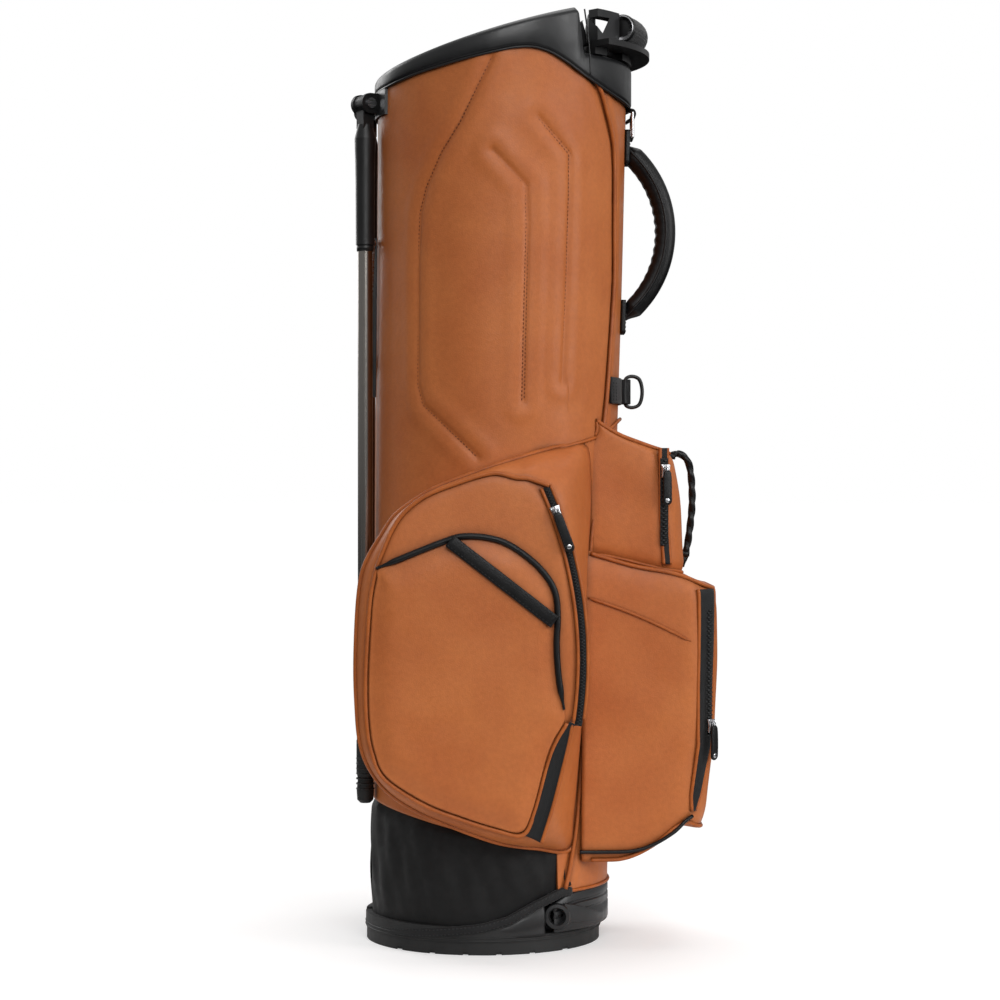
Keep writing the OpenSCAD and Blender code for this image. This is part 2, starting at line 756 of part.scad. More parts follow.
housing_len = 139;
sleeve_z = 100;
lug_z = 136;
module leg_housing(side) {
  color(black) leg_frame(side) difference() {
    union() {
      translate([0, -head_w / 2, 0]) rotate([-90, 0, 0]) cylinder(h = head_w, r = head_r);
      translate([-6, -head_w / 2, -24]) cube([12, head_w, 24]);
      rotate_extrude() polygon([[0, -20], [7, -20], [10.5, -34], [9.6, -70], [9.3, -housing_len],
                                [0, -housing_len]]);
    }
    translate([0, -20, 0]) rotate([-90, 0, 0]) cylinder(h = 40, r = leg_pin_r + tiny);
    translate([0, 0, -housing_len - 1]) cylinder(h = housing_len - sleeve_z + 1, r = leg_r + tiny);
  }
}
module near_leg_housing() { leg_housing(near); }
module far_leg_housing() { leg_housing(far); }
foot_h = 62;
module leg_tube(side) {
  color(black) leg_frame(side)
    translate([0, 0, -leg_len + foot_h - 22]) cylinder(h = leg_len - foot_h + 22 - sleeve_z, r = leg_r);
}
module near_leg_tube() { leg_tube(near); }
module far_leg_tube() { leg_tube(far); }
module leg_foot(side) {
  color(black) leg_frame(side) translate([0, 0, -leg_len]) difference() {
    rotate_extrude() polygon([[0, 0], [5, 0], [8, 3], [8.6, 12], [7.4, 24], [8.8, 30], [8.8, foot_h],
                              [0, foot_h]]);
    translate([0, 0, foot_h - 22 - gap]) cylinder(h = 30, r = leg_r + tiny);
  }
}
module near_leg_foot() { leg_foot(near); }
module far_leg_foot() { leg_foot(far); }

rail_depth = 5;
carriage_x = back_x(slider_z) - rail_depth - 1.5;

// Links: a ball on the leg, a wire and an eye at the sliding carriage
link_r = 2;
link_ball = 3.4;
link_top = [leg_x + 7, leg_y - 11, leg_z - lug_z];
link_spread = 12;
link_end = [carriage_x - 1.6, link_spread, slider_z];
module link(side) {
  d = link_end - link_top;
  l = norm(d);
  color(silver) on_side(-side) translate(link_top) {
    sphere(link_ball);
    rotate([0, acos(d[2] / l), atan2(d[1], d[0])]) {
      cylinder(h = l, r = link_r);
      translate([0, 0, l]) sphere(link_ball - 0.4);
    }
  }
}
module near_link() { link(near); }
module far_link() { link(far); }

rail_half = 9;
module spine_rail() {
  z0 = slot_z0 - 8;
  z1 = slot_z1 + 8;
  color(black) difference() {
    intersection() {
      translate([back_x(slider_z) - 20, -rail_half, z0]) cube([40, 2 * rail_half, z1 - z0]);
      tube_cone(rail_depth, z0 - 20, z1 + 20);
    }
    tube_cone(gap, z0 - 30, z1 + 30);
    translate([back_x(slider_z) - 20, -slot_half, slot_z0])
      cube([40, 2 * slot_half, slot_z1 - slot_z0]);
  }
}
carriage_h = 22;
carriage_half = 3.7;
link_pin_r = 1.5;
link_pin_gap = 0.8;
module slider() {
  color(black) {
    both_sides() translate([link_end[0], carriage_half - 1, slider_z]) rotate([-90, 0, 0])
      cylinder(h = link_spread - (link_ball - 0.4) - link_pin_gap - carriage_half + 1, r = link_pin_r);
    translate([carriage_x - 6, -carriage_half, slider_z - carriage_h / 2])
      cube([6, 2 * carriage_half, carriage_h]);
    translate([carriage_x - 1, -slot_half + 0.5, slider_z - carriage_h / 2])
      cube([rod_x - carriage_x - rod_r + 1 - tiny, 2 * slot_half - 1, carriage_h]);
    difference() {
      translate([rod_x, 0, slider_z - carriage_h / 2]) cylinder(h = carriage_h, r = rod_r + 2.5);
      translate([rod_x, 0, 0]) cylinder(h = big, r = rod_r + tiny);
    }
  }
}
rod_foot_r = 4;
module push_rod() {
  color(silver) {
    translate([rod_x, 0, floor_z + gap + rod_foot_r]) {
      sphere(rod_foot_r);
      cylinder(h = slider_z + carriage_h / 2 - floor_z - rod_foot_r, r = rod_r);
    }
  }
}

base_sole();
base_foot();
foot_lip();
foot_lugs();
hinge_pins();
skirt();
skirt_hem();
heel_bracket();
bag_bottom();
body_shell();
stays();
top_cuff();
divider_rails();
divider_fins();
divider_walls();
lift_arms();
lift_rail();
lift_grip();
lift_caps();
near_side_pocket();
far_side_pocket();
near_valuables_pocket();
far_valuables_pocket();
near_zip_track();
far_zip_track();
near_zip_slider();
far_zip_slider();
near_zip_pull();
far_zip_pull();
upper_front_pocket();
upper_zip_track();
upper_zip_slider();
upper_zip_pull();
lower_front_pocket();
lower_near_track();
lower_far_track();
lower_near_slider();
lower_far_slider();
lower_near_pull();
lower_far_pull();
grab_handle();
grab_anchors();
pocket_handle();
ring_strap();
d_ring();
top_ring_strap();
top_ring();
leg_yoke();
leg_pins();
near_leg_housing();
far_leg_housing();
near_leg_tube();
far_leg_tube();
near_leg_foot();
far_leg_foot();
near_link();
far_link();
spine_rail();
slider();
push_rod();
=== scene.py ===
import json
import math

import bpy
import numpy as np
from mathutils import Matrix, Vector
from mathutils.kdtree import KDTree

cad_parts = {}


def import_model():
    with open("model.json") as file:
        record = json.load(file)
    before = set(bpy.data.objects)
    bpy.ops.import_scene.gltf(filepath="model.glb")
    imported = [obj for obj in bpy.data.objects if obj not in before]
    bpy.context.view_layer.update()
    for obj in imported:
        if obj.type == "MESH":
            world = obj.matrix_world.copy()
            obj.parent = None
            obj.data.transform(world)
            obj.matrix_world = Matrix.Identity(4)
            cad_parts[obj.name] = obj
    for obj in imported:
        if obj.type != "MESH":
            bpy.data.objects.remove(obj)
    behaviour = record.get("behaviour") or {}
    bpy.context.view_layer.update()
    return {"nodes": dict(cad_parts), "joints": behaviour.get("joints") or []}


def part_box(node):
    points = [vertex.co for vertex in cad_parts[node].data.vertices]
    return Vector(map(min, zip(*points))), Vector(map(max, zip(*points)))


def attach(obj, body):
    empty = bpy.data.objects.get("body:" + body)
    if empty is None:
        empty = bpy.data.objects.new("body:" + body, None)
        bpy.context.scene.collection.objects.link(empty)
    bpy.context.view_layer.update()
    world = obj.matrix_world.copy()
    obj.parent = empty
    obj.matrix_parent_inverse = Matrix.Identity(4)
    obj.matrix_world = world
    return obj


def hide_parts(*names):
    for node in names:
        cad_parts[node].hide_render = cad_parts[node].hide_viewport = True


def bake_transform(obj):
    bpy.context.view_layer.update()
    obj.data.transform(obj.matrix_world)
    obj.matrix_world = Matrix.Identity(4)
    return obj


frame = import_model()

# Looks of the leather golf bag: sewn leather, nylon, zips, handles and finishes around the
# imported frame. Sizes here are millimetres in the frame's axes: +X is the side of the handles,
# -Y the near side, +Z up. MM turns them into Blender's metres.
MM = 0.001
NEAR, FAR = -1, 1
SIDES = ((NEAR, "near"), (FAR, "far"))


def low(node):
    return np.array(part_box(node)[0]) / MM


def high(node):
    return np.array(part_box(node)[1]) / MM


def joint(name):
    return next(j for j in frame["joints"] if j["name"] == name)


def joint_place(name):
    return np.array(joint(name)["pos_m"]) / MM


# ---------------------------------------------------------------- materials
def srgb(red, green, blue):
    """The linear colour of an sRGB colour."""
    return [v / 12.92 if v <= 0.04045 else ((v + 0.055) / 1.055) ** 2.4 for v in (red, green, blue)] + [1]


class Graph:
    """A node tree being wired: add() makes a node and fills its inputs."""

    def __init__(self, owner):
        owner.use_nodes = True
        self.tree = owner.node_tree
        self.shader = self.tree.nodes.get("Principled BSDF")

    def add(self, kind, inputs, **props):
        made = self.tree.nodes.new("ShaderNode" + kind)
        for key, value in props.items():
            setattr(made, key, value)
        for key, value in inputs.items():
            if isinstance(value, bpy.types.NodeSocket):
                self.tree.links.new(value, made.inputs[key])
            else:
                made.inputs[key].default_value = value
        return made

    def maths(self, operation, a, b=0.5):
        return self.add("Math", {0: a, 1: b}, operation=operation).outputs[0]

    def between(self, value, low_at, high_at, to_low, to_high, **props):
        return self.add("MapRange", {"Value": value, "From Min": low_at, "From Max": high_at,
                                     "To Min": to_low, "To Max": to_high}, **props).outputs[0]

    def drive(self, name, socket):
        self.tree.links.new(socket, self.shader.inputs[name])


class Finish(Graph):
    """A Principled material with a slot, its object coordinates and its UV."""

    def __init__(self, name, slot, **fixed):
        self.mat = bpy.data.materials.new(name)
        super().__init__(self.mat)
        self.mat["slot"] = slot
        for key, value in fixed.items():
            self.shader.inputs[key.replace("_", " ")].default_value = value
        coords = self.tree.nodes.new("ShaderNodeTexCoord")
        self.place = coords.outputs["Object"]
        self.uv = coords.outputs["UV"]

    def noise(self, scale, detail=2.0, vector=None):
        return self.add("TexNoise", {"Vector": vector or self.place, "Scale": scale,
                                     "Detail": detail}).outputs[0]

    def ramp(self, value, stops):
        node = self.add("ValToRGB", {"Fac": value})
        points = node.color_ramp.elements
        while len(points) < len(stops):
            points.new(0.5)
        for point, (at, colour) in zip(points, stops):
            point.position = at
            point.color = colour
        return node.outputs[0]

    def bump(self, height, strength, distance, under=None):
        inputs = {"Height": height, "Strength": strength, "Distance": distance}
        if under is not None:
            inputs["Normal"] = under
        return self.add("Bump", inputs).outputs[0]


def leather(name, slot, light, dark, rough, grain=820, depth=0.2, mottle=16, painted_crevice_shade=1.0):
    """Soft full-grain leather: fine pebbles, slight creasing, a mottled dye, and painted shade: ambient
    occlusion darkens the colour in seams and hollows.
    """
    f = Finish(name, slot, Specular_IOR_Level=0.3)
    cells = f.add("TexVoronoi", {"Vector": f.place, "Scale": grain}, feature="F1").outputs["Distance"]
    fine = f.noise(grain * 2.6, 3)
    broad = f.noise(mottle, 4)
    tone = f.ramp(broad, ((0.3, dark), (0.66, light)))
    speckle = f.between(f.noise(240, 3), 0.3, 0.7, 0.94, 1.04)
    # painted shade: ambient occlusion darkens the base colour in seams and crevices
    if painted_crevice_shade < 1:
        ao_shade = f.add("AmbientOcclusion", {"Distance": 0.009}, samples=6).outputs["AO"]
        speckle = f.maths("MULTIPLY", speckle, f.between(ao_shade, 0.35, 0.95, painted_crevice_shade, 1.0))
    mixed = f.add("VectorMath", {0: tone, "Scale": speckle}, operation="SCALE").outputs[0]
    f.drive("Base Color", mixed)
    f.drive("Roughness", f.between(f.noise(60, 3), 0.3, 0.7, rough - 0.06, rough + 0.08))
    crease = f.bump(f.noise(95, 5), 0.16, 0.0012)
    pebble = f.bump(cells, depth, 0.0005, crease)
    f.drive("Normal", f.bump(fine, 0.1, 0.0002, pebble))
    return f.mat


def moulded(name, slot, colour, rough, grain=2600, strength=0.12, **fixed):
    """Moulded plastic or rubber with a fine spark texture and handled patches."""
    f = Finish(name, slot, **fixed)
    worn = f.noise(22, 4)
    lighter = [c * 1.35 + 0.002 for c in colour[:3]] + [1]
    f.drive("Base Color", f.ramp(worn, ((0.35, colour), (0.75, lighter))))
    f.drive("Roughness", f.between(f.noise(75, 4), 0.3, 0.7, rough - 0.05, rough + 0.08))
    f.drive("Normal", f.bump(f.noise(grain, 2), strength, 0.0002))
    return f.mat


def woven(name, slot, colour, thread, rough, strength=0.5, sheen=0.15):
    """Plain woven nylon: warp and weft ridges in UV metres, thread millimetres apart."""
    f = Finish(name, slot, Specular_IOR_Level=0.3, Sheen_Weight=sheen, Sheen_Roughness=0.4)
    parts = f.add("SeparateXYZ", {"Vector": f.uv})
    turn = 2 * math.pi / (thread * MM)
    warp = f.maths("SINE", f.maths("MULTIPLY", parts.outputs[0], turn))
    weft = f.maths("SINE", f.maths("MULTIPLY", parts.outputs[1], turn))
    weave = f.maths("MULTIPLY", warp, weft)
    lift = f.between(weave, -1, 1, 0, 1)
    bright = [c * 1.7 + 0.002 for c in colour[:3]] + [1]
    shade = f.ramp(f.maths("ADD", f.maths("MULTIPLY", lift, 0.4), f.noise(40, 4)),
                   ((0.35, colour), (0.95, bright)))
    f.drive("Base Color", shade)
    f.drive("Roughness", f.between(f.noise(120, 2), 0.3, 0.7, rough - 0.05, rough + 0.06))
    f.drive("Normal", f.bump(lift, strength, 0.00025, f.bump(f.noise(60, 4), 0.15, 0.001)))
    return f.mat


def mesh_cloth(name, slot, colour, pitch):
    """Open spacer mesh over a pad: round holes in UV metres."""
    f = Finish(name, slot, Specular_IOR_Level=0.3, Sheen_Weight=0.2)
    cells = f.add("TexVoronoi", {"Vector": f.uv, "Scale": 1 / (pitch * MM), "Randomness": 0.12},
                  voronoi_dimensions="2D")
    rim = f.between(cells.outputs["Distance"], 0.2, 0.5, 0, 1)
    bright = [c * 2.2 + 0.004 for c in colour[:3]] + [1]
    f.drive("Base Color", f.ramp(rim, ((0.1, colour), (0.9, bright))))
    f.shader.inputs["Roughness"].default_value = 0.72
    f.drive("Normal", f.bump(rim, 0.7, 0.0006))
    return f.mat


def metal(name, slot, colour, rough, stretch=(30, 30, 900)):
    """Satin metal with fine drawn lines."""
    f = Finish(name, slot, Metallic=1.0)
    lines = f.add("Mapping", {"Vector": f.place, "Scale": stretch}).outputs[0]
    drawn = f.noise(1.0, 3, lines)
    f.drive("Base Color", f.ramp(drawn, ((0.3, [c * 0.82 for c in colour[:3]] + [1]), (0.7, colour))))
    f.drive("Roughness", f.between(drawn, 0.3, 0.7, rough - 0.06, rough + 0.08))
    f.drive("Normal", f.bump(drawn, 0.05, 0.0001))
    return f.mat


# The tan leathers get painted shade, darker in their seams and hollows through ambient occlusion.
TAN = leather("tan_leather", "leather", srgb(0.745, 0.43, 0.225), srgb(0.70, 0.385, 0.195), 0.46,
              painted_crevice_shade=0.5)
TAN_EDGE = leather("tan_leather_edge", "leather", srgb(0.70, 0.375, 0.155), srgb(0.62, 0.32, 0.13),
                   0.44, mottle=50,
                   painted_crevice_shade=0.45)
BLACK = leather("black_leather", "black_leather", srgb(0.065, 0.065, 0.069), srgb(0.042, 0.042, 0.045),
                0.38,
                grain=1000, depth=0.25)
PLASTIC = moulded("charcoal_plastic", "moulded", srgb(0.10, 0.102, 0.106), 0.36)
DARK_PLASTIC = moulded("black_plastic", "moulded", srgb(0.052, 0.052, 0.055), 0.4)
RUBBER = moulded("black_rubber", "rubber", srgb(0.06, 0.06, 0.06), 0.6, grain=1500, strength=0.25)
NYLON = woven("skirt_nylon", "nylon", srgb(0.02, 0.019, 0.02), 0.9, 0.6, sheen=0.0)
WEBBING = woven("black_webbing", "nylon", srgb(0.055, 0.055, 0.058), 1.9, 0.6, strength=0.8)
TAPE = woven("zip_tape", "nylon", srgb(0.06, 0.06, 0.062), 1.1, 0.6, strength=0.6)
SPACER = mesh_cloth("grip_mesh", "nylon", srgb(0.05, 0.05, 0.052), 2.6)
STEEL = metal("satin_steel", "metal", srgb(0.78, 0.78, 0.79), 0.26)
LEG_METAL = metal("leg_metal", "alloy", srgb(0.58, 0.56, 0.54), 0.2, stretch=(500, 500, 5))
GUNMETAL = metal("gunmetal", "metal", srgb(0.16, 0.16, 0.165), 0.25, stretch=(200, 200, 200))
TAN_THREAD = woven("tan_thread", "leather", srgb(0.4, 0.2, 0.09), 0.5, 0.6, sheen=0.05)
BLACK_THREAD = woven("black_thread", "nylon", srgb(0.1, 0.1, 0.105), 0.5, 0.6)


# ---------------------------------------------------------------- mesh tools
def unit(v):
    v = np.asarray(v, float)
    return v / np.maximum(np.linalg.norm(v, axis=-1, keepdims=True), 1e-9)


def xyz(*parts):
    """Points from their coordinates, each an array or one number."""
    return np.stack(np.broadcast_arrays(*parts), -1)


def about(x, radius, angle, z):
    """Points round an upright axis that stands at x on the middle plane."""
    return xyz(x + radius * np.cos(angle), radius * np.sin(angle), z)


def lay(line, side, out):
    """A line of (x, z) held at a distance out from the middle plane."""
    return xyz(line[:, 0], side * out, line[:, 1])


def run_of(line):
    """Distance travelled at each point of a line."""
    return np.r_[0, np.cumsum(np.linalg.norm(np.diff(line, axis=0), axis=1))]


def spot(at, run, line):
    """Where a line is after it has run at."""
    return np.stack([np.interp(at, run, line[:, k]) for k in range(line.shape[1])], -1)


def taper(n, ramp, least):
    """Scale along n points that grows from least at both ends to 1 after ramp points."""
    k = np.arange(n)
    return np.clip(np.minimum(k, k[::-1]) / ramp, least, 1)


def profile(points):
    """A function that gives the height of a smooth line at x."""
    line = curve(points, 3).T
    return lambda x: np.interp(x, *line)


def show(name, data):
    """A new object in the scene."""
    obj = bpy.data.objects.new(name, data)
    bpy.context.scene.collection.objects.link(obj)
    return obj


def smooth_step(x):
    x = np.clip(x, 0, 1)
    return x * x * (3 - 2 * x)


def grid_faces(rows, cols, wrap=False):
    """Quads of a grid of rows x cols points, closed across its columns if wrap."""
    start = np.arange(rows - 1)[:, None] * cols
    here = np.arange(cols if wrap else cols - 1)[None, :]
    a, b = start + here, start + (here + 1) % cols
    return xyz(a, b, b + cols, a + cols).reshape(-1, 4)


def curve(points, step=4.0, closed=False):
    """Points every step along a smooth line through points, of any dimension."""
    p = np.asarray(points, float)
    if closed:
        p = np.vstack([p[-1], p, p[0], p[1]])
    else:
        p = np.vstack([2 * p[0] - p[1], p, 2 * p[-1] - p[-2]])
    t = np.linspace(0, 1, 13)[:-1, None]
    dense = [0.5 * (2 * b + (c - a) * t + (2 * a - 5 * b + 4 * c - d) * t ** 2
                    + (3 * b - a - 3 * c + d) * t ** 3)
             for a, b, c, d in zip(p, p[1:], p[2:], p[3:])]
    dense = np.vstack(dense + [p[-2][None]])
    return evenly(dense, step)


def evenly(line, step):
    """The line resampled at about step."""
    line = np.asarray(line, float)
    run = run_of(line)
    n = max(int(round(run[-1] / step)), 2)
    at = np.linspace(0, run[-1], n + 1)
    return spot(at, run, line)


def circle(radius, sides=8):
    a = np.arange(sides) / sides * 2 * math.pi
    return xyz(np.cos(a), np.sin(a)) * radius


def round_rect(width, height, radius, corner=3):
    """A rectangle outline with rounded corners."""
    out = []
    for q, (sx, sy) in enumerate(((1, 1), (-1, 1), (-1, -1), (1, -1))):
        for k in range(corner + 1):
            a = (q + k / corner) * math.pi / 2
            out.append((sx * (width / 2 - radius) + radius * math.cos(a),
                        sy * (height / 2 - radius) + radius * math.sin(a)))
    return np.array(out)


class Shape:
    """Meshes gathered into one piece."""

    def __init__(self):
        self.verts, self.faces, self.uvs, self.mats, self.count = [], [], [], [], 0

    def add(self, verts, faces, mat=0, uv=None):
        verts = np.asarray(verts, float).reshape(-1, 3)
        if uv is None:
            uv = xyz(verts[:, 0] + verts[:, 1] * 0.6, verts[:, 2]) * MM
        self.verts.append(verts)
        self.uvs.append(np.asarray(uv, float).reshape(-1, 2))
        faces = [[int(i) + self.count for i in f] for f in faces]
        self.faces += faces
        self.mats += [mat] * len(faces)
        self.count += len(verts)
        return self

    def sweep(self, path, section, up=None, closed=False, scale=None, mat=0, caps=True, turn=None):
        """Carries a section along a path. up is the direction of the section's second axis."""
        p = np.asarray(path, float)
        if closed:
            t = unit(np.roll(p, -1, 0) - np.roll(p, 1, 0))
        else:
            t = unit(np.gradient(p, axis=0))
        if up is None:
            side = np.zeros_like(p)
            first = np.array([0, 0, 1.0]) if abs(t[0, 2]) < 0.8 else np.array([1.0, 0, 0])
            side[0] = unit(first - t[0] * (first @ t[0]))
            for i in range(1, len(p)):
                side[i] = unit(side[i - 1] - t[i] * (side[i - 1] @ t[i]))
            ups = side
        else:
            ups = np.broadcast_to(np.asarray(up, float), p.shape)
            ups = unit(ups - t * np.sum(ups * t, 1, keepdims=True))
        across = np.cross(t, ups)
        sec = np.broadcast_to(section, (len(p),) + np.asarray(section).shape[-2:]).copy()
        if scale is not None:
            sec *= np.asarray(scale, float).reshape(len(p), 1, -1)
        if turn is not None:
            c, s = np.cos(turn)[:, None], np.sin(turn)[:, None]
            sec = xyz(sec[..., 0] * c - sec[..., 1] * s, sec[..., 0] * s + sec[..., 1] * c)
        k = sec.shape[1]
        verts = p[:, None] + across[:, None] * sec[..., :1] + ups[:, None] * sec[..., 1:]
        run = run_of(p)
        rim = run_of(sec[0])
        uv = xyz(rim[None, :], run[:, None]) * MM
        n = len(p)
        faces = grid_faces(n, k, wrap=True)[:, ::-1].tolist()
        if closed:
            last = (n - 1) * k
            faces += [[last + (j + 1) % k, last + j, j, (j + 1) % k][::-1] for j in range(k)]
        elif caps:
            faces += [list(range(k)), list(range(n * k - 1, (n - 1) * k - 1, -1))]
        return self.add(verts, faces, mat, uv)

    def stitches(self, path, out, length=3.0, pitch=4.6, radius=0.42, lift=0.15, mat=0):
        """Short raised stitches along a path that lies on a surface with normals out."""
        p = np.asarray(path, float)
        run = run_of(p)
        out = np.broadcast_to(np.asarray(out, float), p.shape)
        n = int(run[-1] // pitch)
        ring = circle(1.0, 6)
        for i in range(n):
            at = pitch * (i + 0.5) + np.array([-0.5, -0.32, 0.32, 0.5]) * length
            mid = spot(at, run, p)
            nor = unit(spot(at, run, out))
            t = unit(mid[3] - mid[0])
            side = np.cross(t, nor[1])
            size = np.array([0.35, 1, 1, 0.35]) * radius
            mid = mid + nor * np.array([lift - 0.5, lift, lift, lift - 0.5])[:, None]
            verts = mid[:, None] + side * (ring[None, :, :1] * size[:, None, None]) \
                + nor[1] * (ring[None, :, 1:] * size[:, None, None] * 0.8)
            faces = grid_faces(4, 6, wrap=True).tolist() + [list(range(5, -1, -1)), list(range(18, 24))]
            self.add(verts, faces, mat)
        return self

    def lathe(self, profile, centre, axis, start=(1, 0, 0), sides=32, mat=0):
        """Turns a profile of (radius, distance along the axis) about an axis."""
        axis = unit(axis)
        start = np.asarray(start, float)
        if abs(unit(start) @ axis) > 0.9:
            start = np.array([0, 1.0, 0])
        e1 = unit(start - axis * (start @ axis))
        e2 = np.cross(axis, e1)
        a = np.arange(sides) / sides * 2 * math.pi
        ring = np.cos(a)[:, None] * e1 + np.sin(a)[:, None] * e2
        prof = np.asarray(profile, float)
        verts = np.asarray(centre) + ring[None] * prof[:, None, :1] + axis * prof[:, None, 1:]
        run = run_of(prof)
        uv = xyz((a * prof[:, 0].max())[None, :], run[:, None]) * MM
        n = len(prof)
        faces = grid_faces(n, sides, wrap=True).tolist()
        faces += [list(range(sides - 1, -1, -1)), list(range((n - 1) * sides, n * sides))]
        return self.add(verts, faces, mat, uv)

    def piece(self, name, mats, body, recalc=False, sharp=None, fill=None, node=None):
        """The finished object, which rides body, and the node it replaces; fill, its padding, is not used.
        """
        mats = mats if isinstance(mats, (list, tuple)) else [mats]
        mesh = bpy.data.meshes.new(name)
        verts = np.vstack(self.verts) * MM
        mesh.from_pydata(verts.tolist(), [], self.faces)
        for mat in mats:
            mesh.materials.append(mat)
        mesh.polygons.foreach_set("material_index", self.mats)
        uv = np.vstack(self.uvs)
        corners = np.zeros(len(mesh.loops), int)
        mesh.loops.foreach_get("vertex_index", corners)
        mesh.uv_layers.new(name="UVMap").data.foreach_set("uv", uv[corners].ravel())
        mesh.polygons.foreach_set("use_smooth", [True] * len(mesh.polygons))
        mesh.update()
        if sharp is not None:
            mesh.set_sharp_from_angle(angle=math.radians(sharp))
        if recalc:
            outward(mesh)
        obj = show(name, mesh)
        if body:
            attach(obj, body)
        if node:
            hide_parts(node)
        return obj


def outward(mesh):
    import bmesh
    made = bmesh.new()
    made.from_mesh(mesh)
    bmesh.ops.recalc_face_normals(made, faces=made.faces)
    made.to_mesh(mesh)
    made.free()


def modify(obj, kind, **settings):
    mod = obj.modifiers.new(kind.lower(), kind)
    for key, value in settings.items():
        setattr(mod, key, value)
    return obj


def thicken(obj, thickness, offset=-1.0):
    return modify(obj, "SOLIDIFY", thickness=thickness * MM, offset=offset, use_rim=True)


# ---------------------------------------------------------------- the tube
TOP, HEEL = high("body_shell"), high("heel_bracket")
R_TOP, R_HEEL = TOP[1], high("base_foot")[0]
X_TOP, X_HEEL = TOP[0] - R_TOP, HEEL[0] - R_HEEL
RIM_X = 20                                # middle of the cuff
RIM_Z = 888.6                             # height of the rim there
RIM_SLOPE = math.tan(math.radians(15.7))
CUFF_R = high("top_cuff")[1]
CUFF_WALL = 14
NOTCH_X, NOTCH_Z = 96, 866                # the cuff is cut down under the lift handle
HEEL_Z, HEEL_EDGE = 56, 80                # lower end of the leather at the heel


def tube(z):
    """Middle and radius of the tube at a height."""
    t = (np.asarray(z, float) - HEEL[2]) / (TOP[2] - HEEL[2])
    return X_HEEL + (X_TOP - X_HEEL) * t, R_HEEL + (R_TOP - R_HEEL) * t


def tube_reach(x, z, out=0.0):
    """How far the tube's side stands from the middle plane."""
    xc, r = tube(z)
    return np.sqrt(np.maximum((r + out) ** 2 - (np.asarray(x) - xc) ** 2, 0))


def on_tube(line, side, out=0.0, step=3.0):
    """A line of (x, z) laid on the tube's side: its points and the way out at each."""
    p = curve(line, step)
    xc, _ = tube(p[:, 1])
    pts = lay(p, side, tube_reach(p[:, 0], p[:, 1], out))
    nor = unit(xyz(p[:, 0] - xc, pts[:, 1], np.zeros(len(p))))
    return pts, nor


def rim(x):
    return RIM_Z + (np.asarray(x) - RIM_X) * RIM_SLOPE


CUFF_EDGE = np.array(((-200, 836), (-112, 838), (-60, 848), (0, 861), (38, 868), (60, 866),
                      (80, 857), (105, 842), (140, 827), (200, 816)))


cuff_edge = profile(CUFF_EDGE)


def skirt_line(x):
    """Lower edge of the leather tube."""
    return 140 - 45 * (np.asarray(x) + 110) / 195


# Sewn lines on the near side of the tube, as (x, z); the far side mirrors them
SEAM_LONG = ((9, 857), (-21, 797), (-39, 769), (-54, 736), (-60, 712), (-62, 664), (-62, 600), (-62, 546),
             (-57, 527), (-4, 476))
SEAM_DARTS = (((10, 769), (42, 736), (43, 700), (41, 620), (39, 529)),
              ((54, 801), (84, 768), (84, 730), (81, 640), (77, 549)))
PIPING = ((106, 846), (115, 831), (121, 812), (127, 788), (129, 763), (129, 700), (129, 651), (126, 600),
          (121, 533), (116, 490), (110, 439), (105, 390), (102, 341), (100, 287), (98, 221), (93, 140),
          (86, 88), (80, 60))


def ripple(a, z, size):
    """Slow uneven waves of soft leather."""
    return size * (np.sin(a * 5 + z * 0.011) * 0.5 + np.sin(a * 3 - z * 0.017 + 1.3) * 0.3
                   + np.sin(a * 11 + z * 0.023 + 0.7) * 0.2)


def body_skin():
    """The leather tube: stitched seams pressed in, soft swelling beside the darts."""
    cols, rows = 400, 320
    a = np.arange(cols) / cols * 2 * math.pi
    xc, r = tube(450)
    x = xc + r * np.cos(a)
    below = np.where(x < HEEL_EDGE, skirt_line(x), HEEL_Z)
    above = cuff_edge(np.clip(x, -108, 144)) + 5
    t = np.linspace(0, 1, rows)[:, None]
    z = below + (above - below) * t
    cz, rz = tube(z)
    round_a = np.minimum(a, 2 * math.pi - a)

    def away_from(*lines):
        points = np.vstack([evenly(line, 1.5) for line in lines])
        tree = KDTree(len(points))
        for k, (px, pz) in enumerate(points):
            cx, cr = tube(pz)
            tree.insert((math.acos(np.clip((px - cx) / cr, -1, 1)) * cr, pz, 0), k)
        tree.balance()
        return np.array([[tree.find((ra * rr, zz, 0))[2] for ra, rr, zz in zip(round_a, rrow, zrow)]
                         for rrow, zrow in zip(rz, z)])

    away = away_from(SEAM_LONG, *SEAM_DARTS)
    out = -1.8 * np.exp(-(away / 2.4) ** 2) + 1.1 * np.exp(-((away - 12) / 8) ** 2)
    away = away_from(PIPING)
    out += -1.9 * np.exp(-((away - 3.4) / 1.8) ** 2) + 0.8 * np.exp(-((away - 12) / 6) ** 2)
    out += ripple(a, z, 0.7) * smooth_step((z - 120) / 80)
    radius = rz + out
    verts = about(cz, radius, a, z)
    faces = grid_faces(rows, cols, wrap=True)
    mid = verts.reshape(-1, 3)[faces].mean(1)
    slot = (np.abs(mid[:, 1]) < 3) & (mid[:, 0] < 0) & (mid[:, 2] > low("spine_rail")[2] + 8) \
        & (mid[:, 2] < high("spine_rail")[2] - 8)
    uv = xyz(a * r, z) * MM
    skin = Shape().add(verts, faces[~slot], 0, uv)
    thicken(skin.piece("body_skin", TAN, "bag", node="body_shell"), 3)


